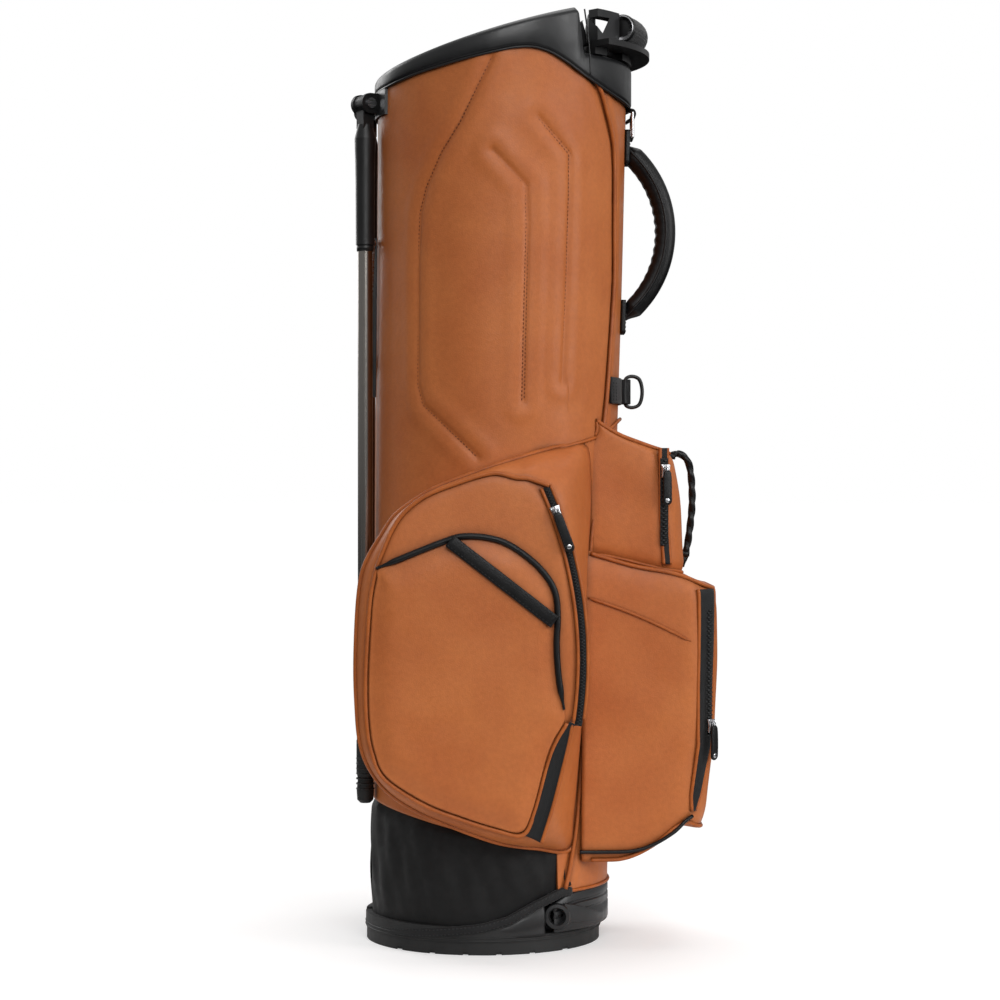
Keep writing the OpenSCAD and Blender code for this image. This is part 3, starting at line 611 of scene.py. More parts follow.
def body_seams():
    for side, tag in SIDES:
        sewn = Shape()
        for line, rows in ((SEAM_LONG, (0,)), (SEAM_DARTS[0], (-1.3, 1.3)), (SEAM_DARTS[1], (-1.3, 1.3))):
            line = evenly(line, 1.5)
            flat = unit(np.gradient(line, axis=0))
            for shift in rows:
                moved = line + xyz(-flat[:, 1], flat[:, 0]) * shift
                pts, nor = on_tube(moved, side, -1.3)
                sewn.stitches(pts, nor, length=2.6, pitch=3.8, radius=0.5)
        sewn.piece(f"{tag}_tube_stitching", TAN_THREAD, "bag")
        pts, nor = on_tube(PIPING, side, 0.9)
        Shape().sweep(pts, circle(2.3, 10)).piece(f"{tag}_tube_piping", TAN_EDGE, "bag")


def heel_leather():
    """Turned and stitched edges of the leather at the belt seam and the heel."""
    trim = Shape()
    a = np.linspace(-0.93, 0.93, 90)
    xc, r = tube(HEEL_Z + 3)
    pts = about(xc, r + 0.6, a, HEEL_Z + 2.0)
    trim.sweep(pts, circle(1.7, 8))
    for side in (NEAR, FAR):
        belt = ((60, 482), (84, 488), (104, 494), (118, 500), (128, 508), (137, 516))
        pts, nor = on_tube(belt, side, 0.6)
        trim.sweep(pts, circle(1.8, 8))
    trim.piece("tube_edge_binding", TAN_EDGE, "bag")


# ---------------------------------------------------------------- the cuff
def cuff():
    """Moulded cuff: a rounded band that widens toward the handles and is cut down there."""
    n = 300
    a = np.arange(n) / n * 2 * math.pi
    x = RIM_X + CUFF_R * np.cos(a)
    foot = cuff_edge(x)
    top = rim(x) + (NOTCH_Z - rim(x)) * smooth_step((x - NOTCH_X + 4) / 7)
    arc = np.linspace(0, math.pi / 2, 7)
    bulge = 6.5
    prof = [(-3.0, 0, -0.4), (-1.0, 0, 0.8), (0.0, 0, 3.2)]
    prof += [(-bulge * (1 - math.cos(t)), 1, -bulge * (1 - math.sin(t))) for t in arc]
    prof += [(-CUFF_WALL + 5 * (1 - math.sin(t)), 1, -5 * (1 - math.cos(t))) for t in arc]
    prof += [(-CUFF_WALL, 0, 4.0), (-CUFF_WALL + 2, 0, 0.0)]
    rows = []
    for inset, at_top, dz in prof:
        r = CUFF_R + inset
        rows.append(about(RIM_X, r, a, (top if at_top else foot) + dz))
    verts = np.stack(rows)
    faces = grid_faces(len(prof), n, wrap=True).tolist()
    last = (len(prof) - 1) * n
    faces += [[last + j, last + (j + 1) % n, (j + 1) % n, j] for j in range(n)]
    Shape().add(verts, faces).piece("cuff", PLASTIC, "bag", recalc=True, node="top_cuff")
    seam = Shape()
    pts = about(RIM_X, CUFF_R - 1.4, a, foot - 0.9)
    seam.sweep(pts, circle(1.2, 8), closed=True)
    seam.piece("cuff_lower_bead", DARK_PLASTIC, "bag")
    for side, tag in SIDES:
        part = math.acos((NOTCH_X - RIM_X) / CUFF_R) * side
        turn = np.linspace(0, 1, 24)
        z = rim(NOTCH_X) - 3 - (rim(NOTCH_X) - 3 - cuff_edge(104) - 2) * turn
        b = part - side * (0.02 + 0.06 * np.sin(turn * math.pi * 0.5))
        line = about(RIM_X, CUFF_R + 0.1, b, z)
        Shape().sweep(line, circle(0.9, 6)).piece(f"{tag}_cuff_parting_bead", DARK_PLASTIC, "bag")


def padded_bar(shape, path, width, height):
    """A fabric-covered foam bar with a full rounded top, tapered ends and stitches along its top."""
    n = len(path)
    ends = taper(n, 2.0, 0.6)
    scale = xyz(ends, 0.9 + 0.1 * ends)
    shape.sweep(path, round_rect(width, height, width * 0.48, 5), up=(0, 0, 1), scale=scale)
    top = np.asarray(path) + np.array([0, 0, height / 2])
    shape.stitches(top, (0, 0, 1.0), length=2.6, pitch=4.4, mat=1)


RAIL_T, BAR_H, RIM_DROP = 8, 26, 3
ROW_X = [RIM_X + (CUFF_R - CUFF_WALL) * f for f in (-0.55, -0.11, 0.33)]
PLATE_X = RIM_X + (CUFF_R - CUFF_WALL) * 0.72
ROW_FINS = ((-25, 25), (-54, 0, 54), (-56, 0, 56), (-33, 33))


def bar_z(x):
    return rim(x) - RIM_DROP - BAR_H / 2


def dividers():
    inner = CUFF_R - CUFF_WALL - 1
    rails = Shape()
    for x in ROW_X + [PLATE_X + RAIL_T / 2]:
        reach = math.sqrt(inner ** 2 - (x - RIM_X) ** 2) - 1.5
        y = np.linspace(-reach, reach, 44)
        padded_bar(rails, xyz(x, y, bar_z(x)), RAIL_T, BAR_H)
    rails.piece("divider_padded_rails", [WEBBING, BLACK_THREAD], "bag", fill=0.85, node="divider_rails")
    fins = Shape()
    edges = [RIM_X - inner] + ROW_X + [PLATE_X]
    for i, row in enumerate(ROW_FINS):
        for y in row:
            x0 = edges[i] + RAIL_T / 2 + 0.5
            if i == 0:
                x0 = RIM_X - math.sqrt(inner ** 2 - y ** 2) + 2
            x = np.linspace(x0, edges[i + 1] - (0.5 if i == 3 else RAIL_T / 2 + 0.5), 18)
            padded_bar(fins, xyz(x, y, bar_z(x)), RAIL_T - 2, BAR_H)
    fins.piece("divider_padded_fins", [WEBBING, BLACK_THREAD], "bag", fill=0.85, node="divider_fins")


def divider_cloths():
    """Full-length cloth walls that hang under the padded bars and part the clubs."""
    bottom = low("divider_walls")[2]
    spans = []
    for x in ROW_X + [PLATE_X + RAIL_T / 2]:
        reach = math.sqrt((R_HEEL - 14) ** 2 - (x - X_HEEL) ** 2) if x < 95 else 45
        spans.append(((x, -reach), (x, reach)))
    edges = [-61] + ROW_X + [PLATE_X]
    for i, row in enumerate(ROW_FINS):
        for y in row:
            spans.append(((edges[i] + 2, y), (edges[i + 1] - 2, y)))
    for k, (p, q) in enumerate(spans):
        p, q = np.array(p), np.array(q)
        width = np.linalg.norm(q - p)
        cols, rows = max(int(width / 8), 4), 60
        u = np.linspace(0, 1, cols)
        flat = p + (q - p) * u[:, None]
        top = rim(flat[:, 0]) - RIM_DROP - BAR_H
        t = np.linspace(0, 1, rows)[:, None]
        z = bottom + (top - bottom) * t
        across = np.array([-(q - p)[1], (q - p)[0]]) / width
        wave = 1.6 * np.sin(u * math.pi * 3 + z * 0.012 + k) * np.sin(t * math.pi) * np.sin(u * math.pi)
        verts = xyz(flat[:, 0] + across[0] * wave, flat[:, 1] + across[1] * wave, z)
        uv = xyz(u * width, z) * MM
        cloth = Shape().add(verts, grid_faces(rows, cols), 0, uv)
        cloth = cloth.piece(f"divider_cloth_{k:02d}", NYLON, "bag")
        if k == 0:
            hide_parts("divider_walls")


# ---------------------------------------------------------------- side pockets
SIDE_MID = np.array((-10, 290))
SIDE_FACE = 165.5                         # the front panel's edge, out from the middle plane
SHOULDER = 150                            # where the outer piping runs
ZIP_MID = np.array(joint_place("near_zip_run"))[[0, 2]]
ZIP_R = 394
ZIP_HALF = 3.5


def zip_arc(a0, a1, r=ZIP_R, n=40):
    a = np.radians(np.linspace(a0, a1, n))
    return xyz(ZIP_MID[0] + r * np.cos(a), ZIP_MID[1] + r * np.sin(a))


POCKET_RIM = ((103, 489), (80, 488), (59, 483), (20, 471), (-19, 457), (-46, 446), (-67, 433),
              (-83, 420), (-95, 402), (-106, 384), (-113, 366), (-117, 335), (-119, 283), (-118, 243),
              (-115, 209), (-107, 185), (-90, 162), (-64, 144), (-28, 128), (14, 113), (51, 104),
              (84, 97), (90, 130), (96, 200), (100, 287), (102, 341), (104, 390), (107, 440))
PANEL_LEFT = ((44, 456), (32, 457), (9, 461), (-28, 450), (-54, 439), (-73, 424), (-84, 408),
              (-92, 390), (-99, 370), (-104, 345), (-107, 309), (-109, 270), (-108, 229), (-103, 199),
              (-91, 174), (-54, 150), (-18, 136), (14, 126), (38, 122), (49, 143), (62, 190),
              (70, 210), (80, 227))
BAND_EDGE = ((85, 226), (77, 190), (67, 150), (56, 114))
POCKET_LIP = ((-99, 372), (-76, 381), (-54, 390), (-33, 398), (-18, 402), (4, 401), (24, 395), (46, 380),
              (61, 364), (69, 348), (71, 327), (70, 300), (72, 270), (77, 240))


def ray_loop(loop, middle, angles):
    """Where rays from middle at the angles meet a closed loop of (x, z)."""
    p = curve(loop, 1.5, closed=True) - middle
    far = np.interp(angles, np.arctan2(p[:, 1], p[:, 0]), np.hypot(p[:, 0], p[:, 1]), period=2 * math.pi)
    return middle + far[:, None] * xyz(np.cos(angles), np.sin(angles))


def panel_out(x, z):
    """How far the side pocket's crowned front panel stands from the middle plane."""
    u = 1 - ((x + 12) / 104) ** 2
    v = 1 - ((z - 285) / 182) ** 2
    crown = np.clip(u, 0, 1) ** 0.7 * np.clip(v, 0, 1) ** 0.7
    soft = 0.5 * np.sin(x * 0.045 + z * 0.03) + 0.4 * np.sin(z * 0.052 - x * 0.021 + 1)
    return SIDE_FACE + 4.2 * crown + 0.5 * soft


def pocket_loops(angles):
    rim_loop = ray_loop(POCKET_RIM, SIDE_MID, angles)
    right = zip_arc(-7, 23.5, ZIP_R - ZIP_HALF - 1.5, 12)
    panel = ray_loop(list(PANEL_LEFT) + [tuple(p) for p in right], SIDE_MID, angles)
    return rim_loop, panel


def shoulder_out(p, base):
    """Depth of the outer piping: out on the shoulder, down to the tube at the front."""
    w = smooth_step((82 - p[:, 0]) / 78)
    return base + (SHOULDER - base) * w


def base_out(p):
    return np.maximum(tube_reach(p[:, 0], p[:, 1], -2.0), 50)


def loft(rings, side, n):
    """Points and faces of rings of (line, distance out) joined up, with the last one capped."""
    verts = np.stack([lay(p, side, out) for p, out in rings])
    faces = grid_faces(len(rings), n, wrap=True)
    cap = list(range((len(rings) - 1) * n, len(rings) * n))
    if side == FAR:
        faces, cap = faces[:, ::-1], cap[::-1]
    return verts, faces.tolist() + [cap]


def side_pocket(side, tag):
    """Sewn leather pocket: gusset from the tube, piped shoulder, crowned front panel."""
    n = 280
    angles = np.linspace(0, 2 * math.pi, n, endpoint=False)
    rim_loop, panel = pocket_loops(angles)
    base = base_out(rim_loop)
    shoulder = shoulder_out(rim_loop, base)
    tucked = rim_loop.copy()
    tucked[:, 0] = np.maximum(tucked[:, 0], -92)
    rings = [(tucked, np.where(rim_loop[:, 0] < -92, 48, base - 3)), (rim_loop, base)]
    for s in np.linspace(0, 1, 9)[1:]:
        sag = 2.5 * math.sin(s * math.pi)
        inward = unit(SIDE_MID - rim_loop) * sag
        rings.append((rim_loop + inward, base + (shoulder - base) * s))
    for s in np.linspace(0, 1, 11)[1:]:
        rise = math.sin(s * math.pi / 2) ** 0.85
        rings.append((rim_loop + (panel - rim_loop) * s, shoulder + (SIDE_FACE - 1.5 - shoulder) * rise))
    for q in (0.985, 0.965, 0.94, 0.9, 0.85, 0.78, 0.7, 0.6, 0.5, 0.4, 0.3, 0.2, 0.1, 0.03):
        p = SIDE_MID + (panel - SIDE_MID) * q
        dip = 1.8 * np.exp(-((1 - q) * np.linalg.norm(panel - SIDE_MID, axis=1) / 5) ** 2)
        rings.append((p, panel_out(p[:, 0], p[:, 1]) - dip))
    thicken(Shape().add(*loft(rings, side, n)).piece(f"{tag}_side_pocket_leather", TAN, "bag",
                                                     recalc=True, node=f"{tag}_side_pocket"), 2.4)

    trim = Shape()
    edge = lay(rim_loop, side, shoulder + 0.8)
    outer = rim_loop[:, 0] < 99
    order = np.flatnonzero(outer)
    start = order[np.flatnonzero(np.diff(order) > 1)[0] + 1] if np.any(np.diff(order) > 1) else order[0]
    run = [(start + k) % n for k in range(len(order))]
    trim.sweep(evenly(edge[run], 3.5), circle(2.4, 10))
    inner = np.array(PANEL_LEFT, float)
    line = curve(np.vstack([zip_arc(24.3, 24.4, ZIP_R + ZIP_HALF, 1), inner]), 3)
    trim.sweep(lay(line, side, SIDE_FACE + 0.6), circle(2.2, 10))
    for r in (ZIP_R - ZIP_HALF - 1.2, ZIP_R + ZIP_HALF + 1.0):
        arc = zip_arc(-8.5 if r < ZIP_R else -8, 24.4, r, 70)
        drop = 0.4 if r < ZIP_R else 1.6
        trim.sweep(lay(arc, side, SIDE_FACE + 1.2 - drop), circle(1.8, 8))
    trim.piece(f"{tag}_side_pocket_piping", TAN_EDGE, "bag")


def valuables(side, tag):
    """Padded outer layer of the side pocket, with a black bound mouth and a bare black band."""
    n = 240
    middle = np.array((-16, 262))
    angles = np.linspace(0, 2 * math.pi, n, endpoint=False)
    hem = np.array(PANEL_LEFT[8:], float)
    hem = hem + unit(middle - hem) * 3.4
    mouth = np.array(POCKET_LIP, float)
    loop = ray_loop(hem.tolist() + mouth[::-1].tolist(), middle, angles)
    rings = []
    length = np.linalg.norm(loop - middle, axis=1)
    for q in (1.0, 1.0, 0.985, 0.965, 0.94, 0.9, 0.84, 0.76, 0.66, 0.55, 0.42, 0.3, 0.18, 0.08, 0.02):
        p = middle + (loop - middle) * q
        rise = 1.2 + 4.2 * smooth_step((1 - q) * length / 22)
        if not rings:
            rise = np.full(n, -1.5)
        rings.append((p, panel_out(p[:, 0], p[:, 1]) + rise))
    verts = np.stack([lay(p, side, out) for p, out in rings])
    faces = grid_faces(len(rings), n, wrap=True)
    cap = list(range((len(rings) - 1) * n, len(rings) * n))
    panel = Shape().add(verts, faces.tolist() + [cap])
    panel.piece(f"{tag}_valuables_panel", TAN, "bag", recalc=True, fill=0.5,
                node=f"{tag}_valuables_pocket")
    black = Shape()
    line = curve(POCKET_LIP, 3)
    out = panel_out(line[:, 0], line[:, 1]) + 2.4
    ends = taper(len(line), 6, 0.4)[:, None]
    black.sweep(lay(line, side, out), circle(3.1, 10), scale=ends)
    p0, p1 = np.array((-30, 398)), np.array((68, 322))
    t = np.linspace(0, 1, 44)[:, None]
    strap = p0 + (p1 - p0) * t
    lift = 6.6 + 0.8 * np.sin(t[:, 0] * math.pi)
    path = lay(strap, side, panel_out(strap[:, 0], strap[:, 1]) + lift)
    black.sweep(path, round_rect(13, 2.6, 1.2, 3), up=(0, side, 0))
    for shift in (-4.4, 4.4):
        d = unit(p1 - p0)
        edge = path + np.array([-d[1], 0, d[0]]) * shift + np.array([0, side * 1.3, 0])
        black.stitches(edge, (0, side, 0), length=2.4, pitch=4.0, radius=0.34, mat=1)
    black.piece(f"{tag}_valuables_trim", [BLACK, BLACK_THREAD], "bag")


# ---------------------------------------------------------------- zips
def zip_chain(shape, path, out, width, mat=0, tooth_mat=1, pitch=1.5, big=1.0):
    """Woven tape under two rows of moulded teeth along a path."""
    out = np.broadcast_to(np.asarray(out, float), np.asarray(path).shape)
    shape.sweep(path, round_rect(width, 0.9, 0.4, 2), up=out, mat=mat)
    run = run_of(path)
    box = np.array([(x, y, z) for x in (-1, 1) for y in (-1, 1) for z in (-1, 1)], float)
    sides = [[0, 1, 3, 2], [4, 6, 7, 5], [0, 4, 5, 1], [2, 3, 7, 6], [0, 2, 6, 4], [1, 5, 7, 3]]
    for i in range(int(run[-1] / pitch)):
        at = (i + 0.5) * pitch
        here = spot(at, run, path)
        ahead = spot(at + 0.5, run, path)
        nor = unit(spot(at, run, out))
        along = unit(ahead - here)
        side = np.cross(along, nor)
        shift = (0.75 if i % 2 else -0.75) * big
        centre = here + side * shift + nor * 1.0
        reach = box * (1.35 * big, 0.65 * big, pitch * 0.36)
        tooth = centre + reach[:, :1] * side + reach[:, 1:2] * nor + reach[:, 2:] * along
        shape.add(tooth, sides, tooth_mat)


def local(shape_points, origin, across, out, along):
    p = shape_points
    return np.asarray(origin) + p[:, :1] * across + p[:, 1:2] * out + p[:, 2:] * along


def zip_slider(name, body, node, origin, across, out, along):
    """Cast slider: a waisted body, a raised crown and a bail for the pull."""
    s = Shape()
    t = np.linspace(-1, 1, 13)
    width = 4.0 + 1.2 * np.abs(t) ** 1.5 * np.where(t > 0, 1.0, 0.25)
    path = local(xyz(0 * t, 0 * t + 1.4, t * 6.4), origin, across, out, along)
    scale = xyz(width / 4.0, np.clip(1.15 - np.abs(t) ** 6 * 0.5, 0.5, 1.2))
    s.sweep(path, round_rect(8, 2.8, 1.1, 3), up=out, scale=scale)
    b = np.linspace(0, math.pi, 17)
    bail = xyz(0 * b, 2.4 + 2.5 * np.sin(b), 4.2 * np.cos(b) + 0.4)
    s.sweep(local(bail, origin, across, out, along), round_rect(2.6, 1.3, 0.5, 2), up=across)
    for x in (-1, 1):
        rib = xyz(x * (3.1 + 0.6 * t ** 2), 2.9 + 0 * t, t * 5.4)
        s.sweep(local(rib, origin, across, out, along), circle(0.55, 6))
    s.piece(name, STEEL, body, sharp=50, node=node)


def zip_pull(name, body, node, origin, across, out, down, length):
    """Leather tab folded on a wire link, sewn round its edge, with a steel rivet near its end."""
    s = Shape()
    b = np.linspace(0, 2 * math.pi, 25)[:-1]
    link = xyz(2.1 * np.cos(b), 0.9 + 0 * b, 2.3 * np.sin(b) + 1.9)
    s.sweep(local(link, origin, across, out, down), circle(0.6, 6), closed=True, mat=1)
    n = 36
    t = np.linspace(0, 1, n)
    half = np.interp(t, (0, 0.08, 0.2, 0.82, 1.0), (0.5, 0.8, 0.92, 1.0, 1.0))
    tip = np.clip((t - 0.88) / 0.12, 0, 1)
    head = np.clip((0.05 - t) / 0.05, 0, 1)
    half = half * np.sqrt(np.clip(1 - (tip * 0.97) ** 2, 0.02,
                                  1)) * np.sqrt(np.clip(1 - (head * 0.8) ** 2, 0.1, 1))
    thick = np.interp(t, (0, 0.06, 0.3, 0.9, 1), (0.8, 1.35, 1.1, 1.0, 0.6))
    bend = 0.7 * np.sin(t * math.pi)
    path = local(xyz(0 * t, 1.0 + bend, 2.5 + t * length), origin, across, out, down)
    s.sweep(path, round_rect(9.4, 2.4, 1.0, 3), up=out, scale=xyz(half, thick), mat=0)
    for x in (-1, 1):
        edge = local(xyz(x * 3.3 * half[3:-3], 2.25 + bend[3:-3], 2.5 + t[3:-3] * length), origin,
                     across, out, down)
        s.stitches(edge, out, length=1.7, pitch=2.9, radius=0.27, mat=2)
    rivet = local(np.array([[0, 1.6, 2.5 + length * 0.86]]), origin, across, out, down)[0]
    s.lathe(((0.01, 1.25), (1.6, 1.2), (2.5, 0.8), (2.7, 0.2), (2.6, -2.4), (0.01, -2.5)), rivet, out,
            across, 24, mat=1)
    s.piece(name, [BLACK, STEEL, BLACK_THREAD], body, node=node)


def side_zip(side, tag):
    chain = Shape()
    arc = zip_arc(-9, 24.3, ZIP_R, 130)
    path = lay(arc, side, SIDE_FACE + 0.2)
    zip_chain(chain, path, (0, side, 0), 2 * ZIP_HALF)
    chain.piece(f"{tag}_side_zip_chain", [TAPE, DARK_PLASTIC], "bag", node=f"{tag}_zip_track")
    # the bellows band under the zip
    n = 40
    left = curve([tuple(zip_arc(-9, -8, ZIP_R - ZIP_HALF, 2)[0])] + list(PANEL_LEFT[:-6:-1]), 1.0)
    left = left[np.linspace(0, len(left) - 1, n).round().astype(int)] + np.array((1.2, 0))
    right = curve(BAND_EDGE, 1.0)
    right = right[np.linspace(0, len(right) - 1, n).round().astype(int)]
    rows = []
    for u in np.linspace(0, 1, 9):
        p = left + (right - left) * u
        fold = 1.6 - 3.4 * np.sin(u * math.pi) * np.linspace(0.2, 1, n)
        rows.append(lay(p, side, SIDE_FACE + fold - 3.0 * u * np.linspace(0.3, 1, n)))
    verts = np.stack(rows, 1)
    band = Shape().add(verts, grid_faces(n, 9))
    band = band.piece(f"{tag}_side_bellows", WEBBING, "bag")
    thicken(band, 1.4, 0)
    edge = Shape()
    edge.sweep(lay(right, side, np.linspace(SIDE_FACE - 0.4, SIDE_FACE - 2.2, n)),
               circle(1.9, 8))
    edge.piece(f"{tag}_side_bellows_edge", TAN_EDGE, "bag")
    # slider and pull in the zip's own frame
    mid = (low(f"{tag}_zip_slider") + high(f"{tag}_zip_slider")) / 2
    spoke = unit(mid[[0, 2]] - ZIP_MID)
    out = np.array([0, side, 0.0])
    across = np.array([spoke[0], 0, spoke[1]])
    along = np.array([-spoke[1], 0, spoke[0]])
    seat = np.array([ZIP_MID[0] + ZIP_R * spoke[0], side * (SIDE_FACE + 2.2),
                     ZIP_MID[1] + ZIP_R * spoke[1]])
    zip_slider(f"{tag}_side_slider", f"{tag}_zip", f"{tag}_zip_slider", seat, across, out, along)
    top = seat + out * 4.0 + along * 3.5
    zip_pull(f"{tag}_side_pull", f"{tag}_tab", f"{tag}_zip_pull", top, across, out, -along, 40)


# ---------------------------------------------------------------- front pockets
class Block:
    """A pocket's plan at each height: straight sides, round corners and a flat front."""

    def __init__(self, half, corner, reach):
        self.half, self.corner, self.line = half, corner, curve(reach, 3).T

    def reach(self, z):
        return np.interp(z, *self.line)


LOWER = Block(86, 36, ((76, 200), (84, 205), (100, 212), (125, 217), (157, 220), (223, 226), (272, 228),
                       (338, 228.5),
                       (352, 226.5), (362, 220), (378, 197), (390, 170)))
UPPER = Block(76, 30, ((340, 197), (372, 197), (387, 196), (411, 194.5), (444, 191.5), (477, 186),
                       (487, 180), (495, 170),
                       (504, 157), (517, 139), (522, 132)))


def pocket_skin(name, block, root, z_low, z_high, node, cap_to, rows=46, swell=2.0, seam_from=8):
    """A leather pocket: rings from a rolled lower seam to a rolled top seam, closed toward the tube."""
    base = ring_at(block, block.line[0].mean(), root, 0)
    n = len(base)
    lo, hi = z_low(base[:, 0]), z_high(base[:, 0])
    verts = []
    for s in (0.95, 0.7, 0.45, 0.2):
        ring = ring_at(block, lo, root, 6.0)
        verts.append(np.column_stack([ring + (np.array((cap_to, 0)) - ring) * s, lo + 2]))
    for f in np.linspace(0, 1, rows):
        belly = math.sin(f * math.pi)
        z = lo + (hi - lo) * f
        roll = 3.4 * (1 - min(min(f, 1 - f) * rows / 5.0, 1)) ** 2
        pts = ring_at(block, z, root, roll - swell * belly ** 0.7)
        wave = 0.5 * np.sin(np.arange(n) * 0.31 + z * 0.045) + 0.35 * np.sin(z * 0.08 + np.arange(n) * 0.11)
        pts = pts + unit(pts - np.array((root - 40, 0))) * wave[:, None] * belly * 0.7
        verts.append(np.column_stack([pts, z]))
    for s in (0.2, 0.45, 0.7, 0.95):
        ring = ring_at(block, hi, root, 7.0)
        verts.append(np.column_stack([ring + (np.array((cap_to, 0)) - ring) * s, hi + 1.5 * (1 - s)]))
    verts = np.array(verts)
    uv = xyz(np.arange(n)[None, :] * 6.0, verts[:, :, 2]) * MM
    made = Shape().add(verts, grid_faces(len(verts), n), 0, uv)
    made = made.piece(name, TAN, "bag", recalc=True, node=node)
    thicken(made, 2.2)
    trim = Shape()
    for z, inset in ((hi - 2, 1.6), (lo + 2, 1.6)):
        loop = evenly(np.column_stack([ring_at(block, z, root, inset), z]), 3)
        loop = loop[loop[:, 0] > root + seam_from]
        trim.sweep(loop, circle(2.0, 8))
    trim.piece(name.replace("leather", "piping"), TAN_EDGE, "bag")


def ring_at(block, z, root, inset):
    """The plan's points when each point has its own height."""
    n = 22
    side, turn = np.linspace(0, 1, n)[:-1], np.radians(np.linspace(0, 90, n))
    front = np.linspace(0, 1, n + 2)[1:-1]
    kind = np.r_[0 * side, 0 * turn + 1, 0 * front + 2, 0 * turn + 3, 0 * side + 4]
    val = np.r_[side, turn, front, turn[::-1], side[::-1]]
    reach = block.reach(z) - inset
    half, c = block.half - inset, block.corner - inset
    x = np.where(kind == 2, reach, np.where((kind == 1) | (kind == 3), reach - c + c * np.sin(val),
                                            root + (reach - c - root) * val))
    yy = np.where((kind == 1) | (kind == 3), (half - c) + c * np.cos(val), half)
    sign = np.where((kind == 0) | (kind == 1), -1, 1)
    y = np.where(kind == 2, -(half - c) * (1 - 2 * val), sign * yy)
    return xyz(x, y)


def on_block(block, x, z, side, out=0.0):
    """A point of the pocket's side or corner at x and height z: its place and the way out."""
    reach, c = block.reach(z), block.corner
    s = np.clip((np.asarray(x, float) - (reach - c)) / c, 0, 1)
    turn = np.arcsin(s)
    y = (block.half - c) + c * np.cos(turn)
    nx, ny = np.sin(turn), np.cos(turn)
    px = np.asarray(x, float)
    p = xyz(px + nx * out, side * (y + ny * out), np.broadcast_to(z, px.shape))
    return p, xyz(nx, side * ny, 0 * nx)


def corner_spot(block, reach, degrees, side, out=0.0):
    a = math.radians(degrees)
    c = block.corner
    return np.array([reach - c + (c + out) * math.sin(a),
                     side * (block.half - c + (c + out) * math.cos(a)), 0.0])


lower_top = profile(((96, 389), (106, 387), (133, 381), (163, 373), (190, 368), (203, 363), (214, 356),
                                (224, 352), (240, 351)))


lower_bottom = profile(((90, 85), (120, 85), (145, 86), (165, 92), (185, 104), (198, 116), (210, 121),
                                (222, 116), (240, 112)))


def lower_pocket():
    pocket_skin("lower_pocket_leather", LOWER, 96, lower_bottom, lower_top, "lower_front_pocket", 104)
    for side, tag in SIDES:
        slit = np.linspace(0, 1, 40)
        sx, sz = 102 + 99 * slit, 341 - 42 * slit + 3 * np.sin(slit * math.pi)
        pts, nor = on_block(LOWER, sx, sz, side, 1.8)
        seam = Shape().sweep(pts, circle(1.7, 8),
                             scale=np.clip(np.minimum(slit, 1 - slit) * 20, 0.4, 1)[:, None])
        seam.piece(f"{tag}_lower_pocket_seam", TAN_EDGE, "bag")
        line = Shape()
        xs = np.linspace(94, 203, 60)
        zs = lower_bottom(xs) + 10
        pts, nor = on_block(LOWER, xs, zs, side, 1.3)
        line.sweep(pts, circle(1.8, 8))
        line.piece(f"{tag}_lower_pocket_bottom_line", BLACK, "bag")
        corner_zip(f"{tag}_lower", LOWER, side, ((349, 26, 60), (300, 26, 58), (210, 26, 53),
                                                (150, 28, 46), (134, 33, 39)),
                   f"lower_{tag}_track", f"lower_{tag}_slider", f"lower_{tag}_pull", f"lower_{tag}_zip",
                   f"lower_{tag}_tab", 45, 228.0)

def corner_zip(name, block, side, spans, track, slider, pull, zip_body, tab_body, chain_deg, reach):
    """Black strip round a pocket's corner that carries an upright zip with its slider and pull."""
    z, a0, a1 = np.array(sorted(spans), float).T
    zz = np.linspace(z[0], z[-1], 60)
    rows = []
    for h in zz:
        b0, b1 = np.interp(h, z, a0), np.interp(h, z, a1)
        straight = reach + 0.6 - 0.16 * max(low(track)[2] - 12 - h, 0)
        ring = []
        for a in np.linspace(b0, b1, 15):
            edge = 0.9 * (abs(a - (b0 + b1) / 2) / max((b1 - b0) / 2, 1)) ** 4
            ring.append(corner_spot(block, max(block.reach(h) + 1.0, straight), a, side,
                                    1.9 - edge) + (0, 0, h))
        rows.append(ring)
    verts = np.array(rows)
    band = Shape().add(verts, grid_faces(len(zz), 15))
    band = band.piece(f"{name}_zip_strip", WEBBING, "bag", recalc=True)
    thicken(band, 1.6, 0)
    edges = Shape()
    for k in (0, 14):
        edges.sweep(verts[:, k], circle(1.9, 8))
    edges.piece(f"{name}_zip_strip_piping", TAN_EDGE, "bag")
    p = corner_spot(block, reach, chain_deg, side, 3.2)
    out = np.array([math.sin(math.radians(chain_deg)), side * math.cos(math.radians(chain_deg)), 0])
    lo_z, hi_z = low(track)[2], high(track)[2]
    line = xyz(p[0], p[1], np.linspace(lo_z - 4, hi_z + 6, 90))
    chain = Shape()
    zip_chain(chain, line, out, 8.6, pitch=2.2, big=1.5)
    chain.piece(f"{name}_zip_chain", [TAPE, DARK_PLASTIC], "bag", node=track)
    mid = (low(slider)[2] + high(slider)[2]) / 2
    seat = np.array([p[0], p[1], mid]) + out * 1.6
    up = np.array([0, 0, 1.0])
    across = np.cross(out, up)
    zip_slider(f"{name}_zip_head", zip_body, slider, seat, across, out, up)
    zip_pull(f"{name}_zip_tab", tab_body, pull, seat + out * 4.0 + up * 3.5, across, out, -up, 34)


upper_top = profile(((90, 484), (104, 495), (118, 503), (128, 510), (136, 515), (143, 514), (152, 507),
                                (162, 499), (172, 492), (180, 488), (188, 485), (198, 480)))


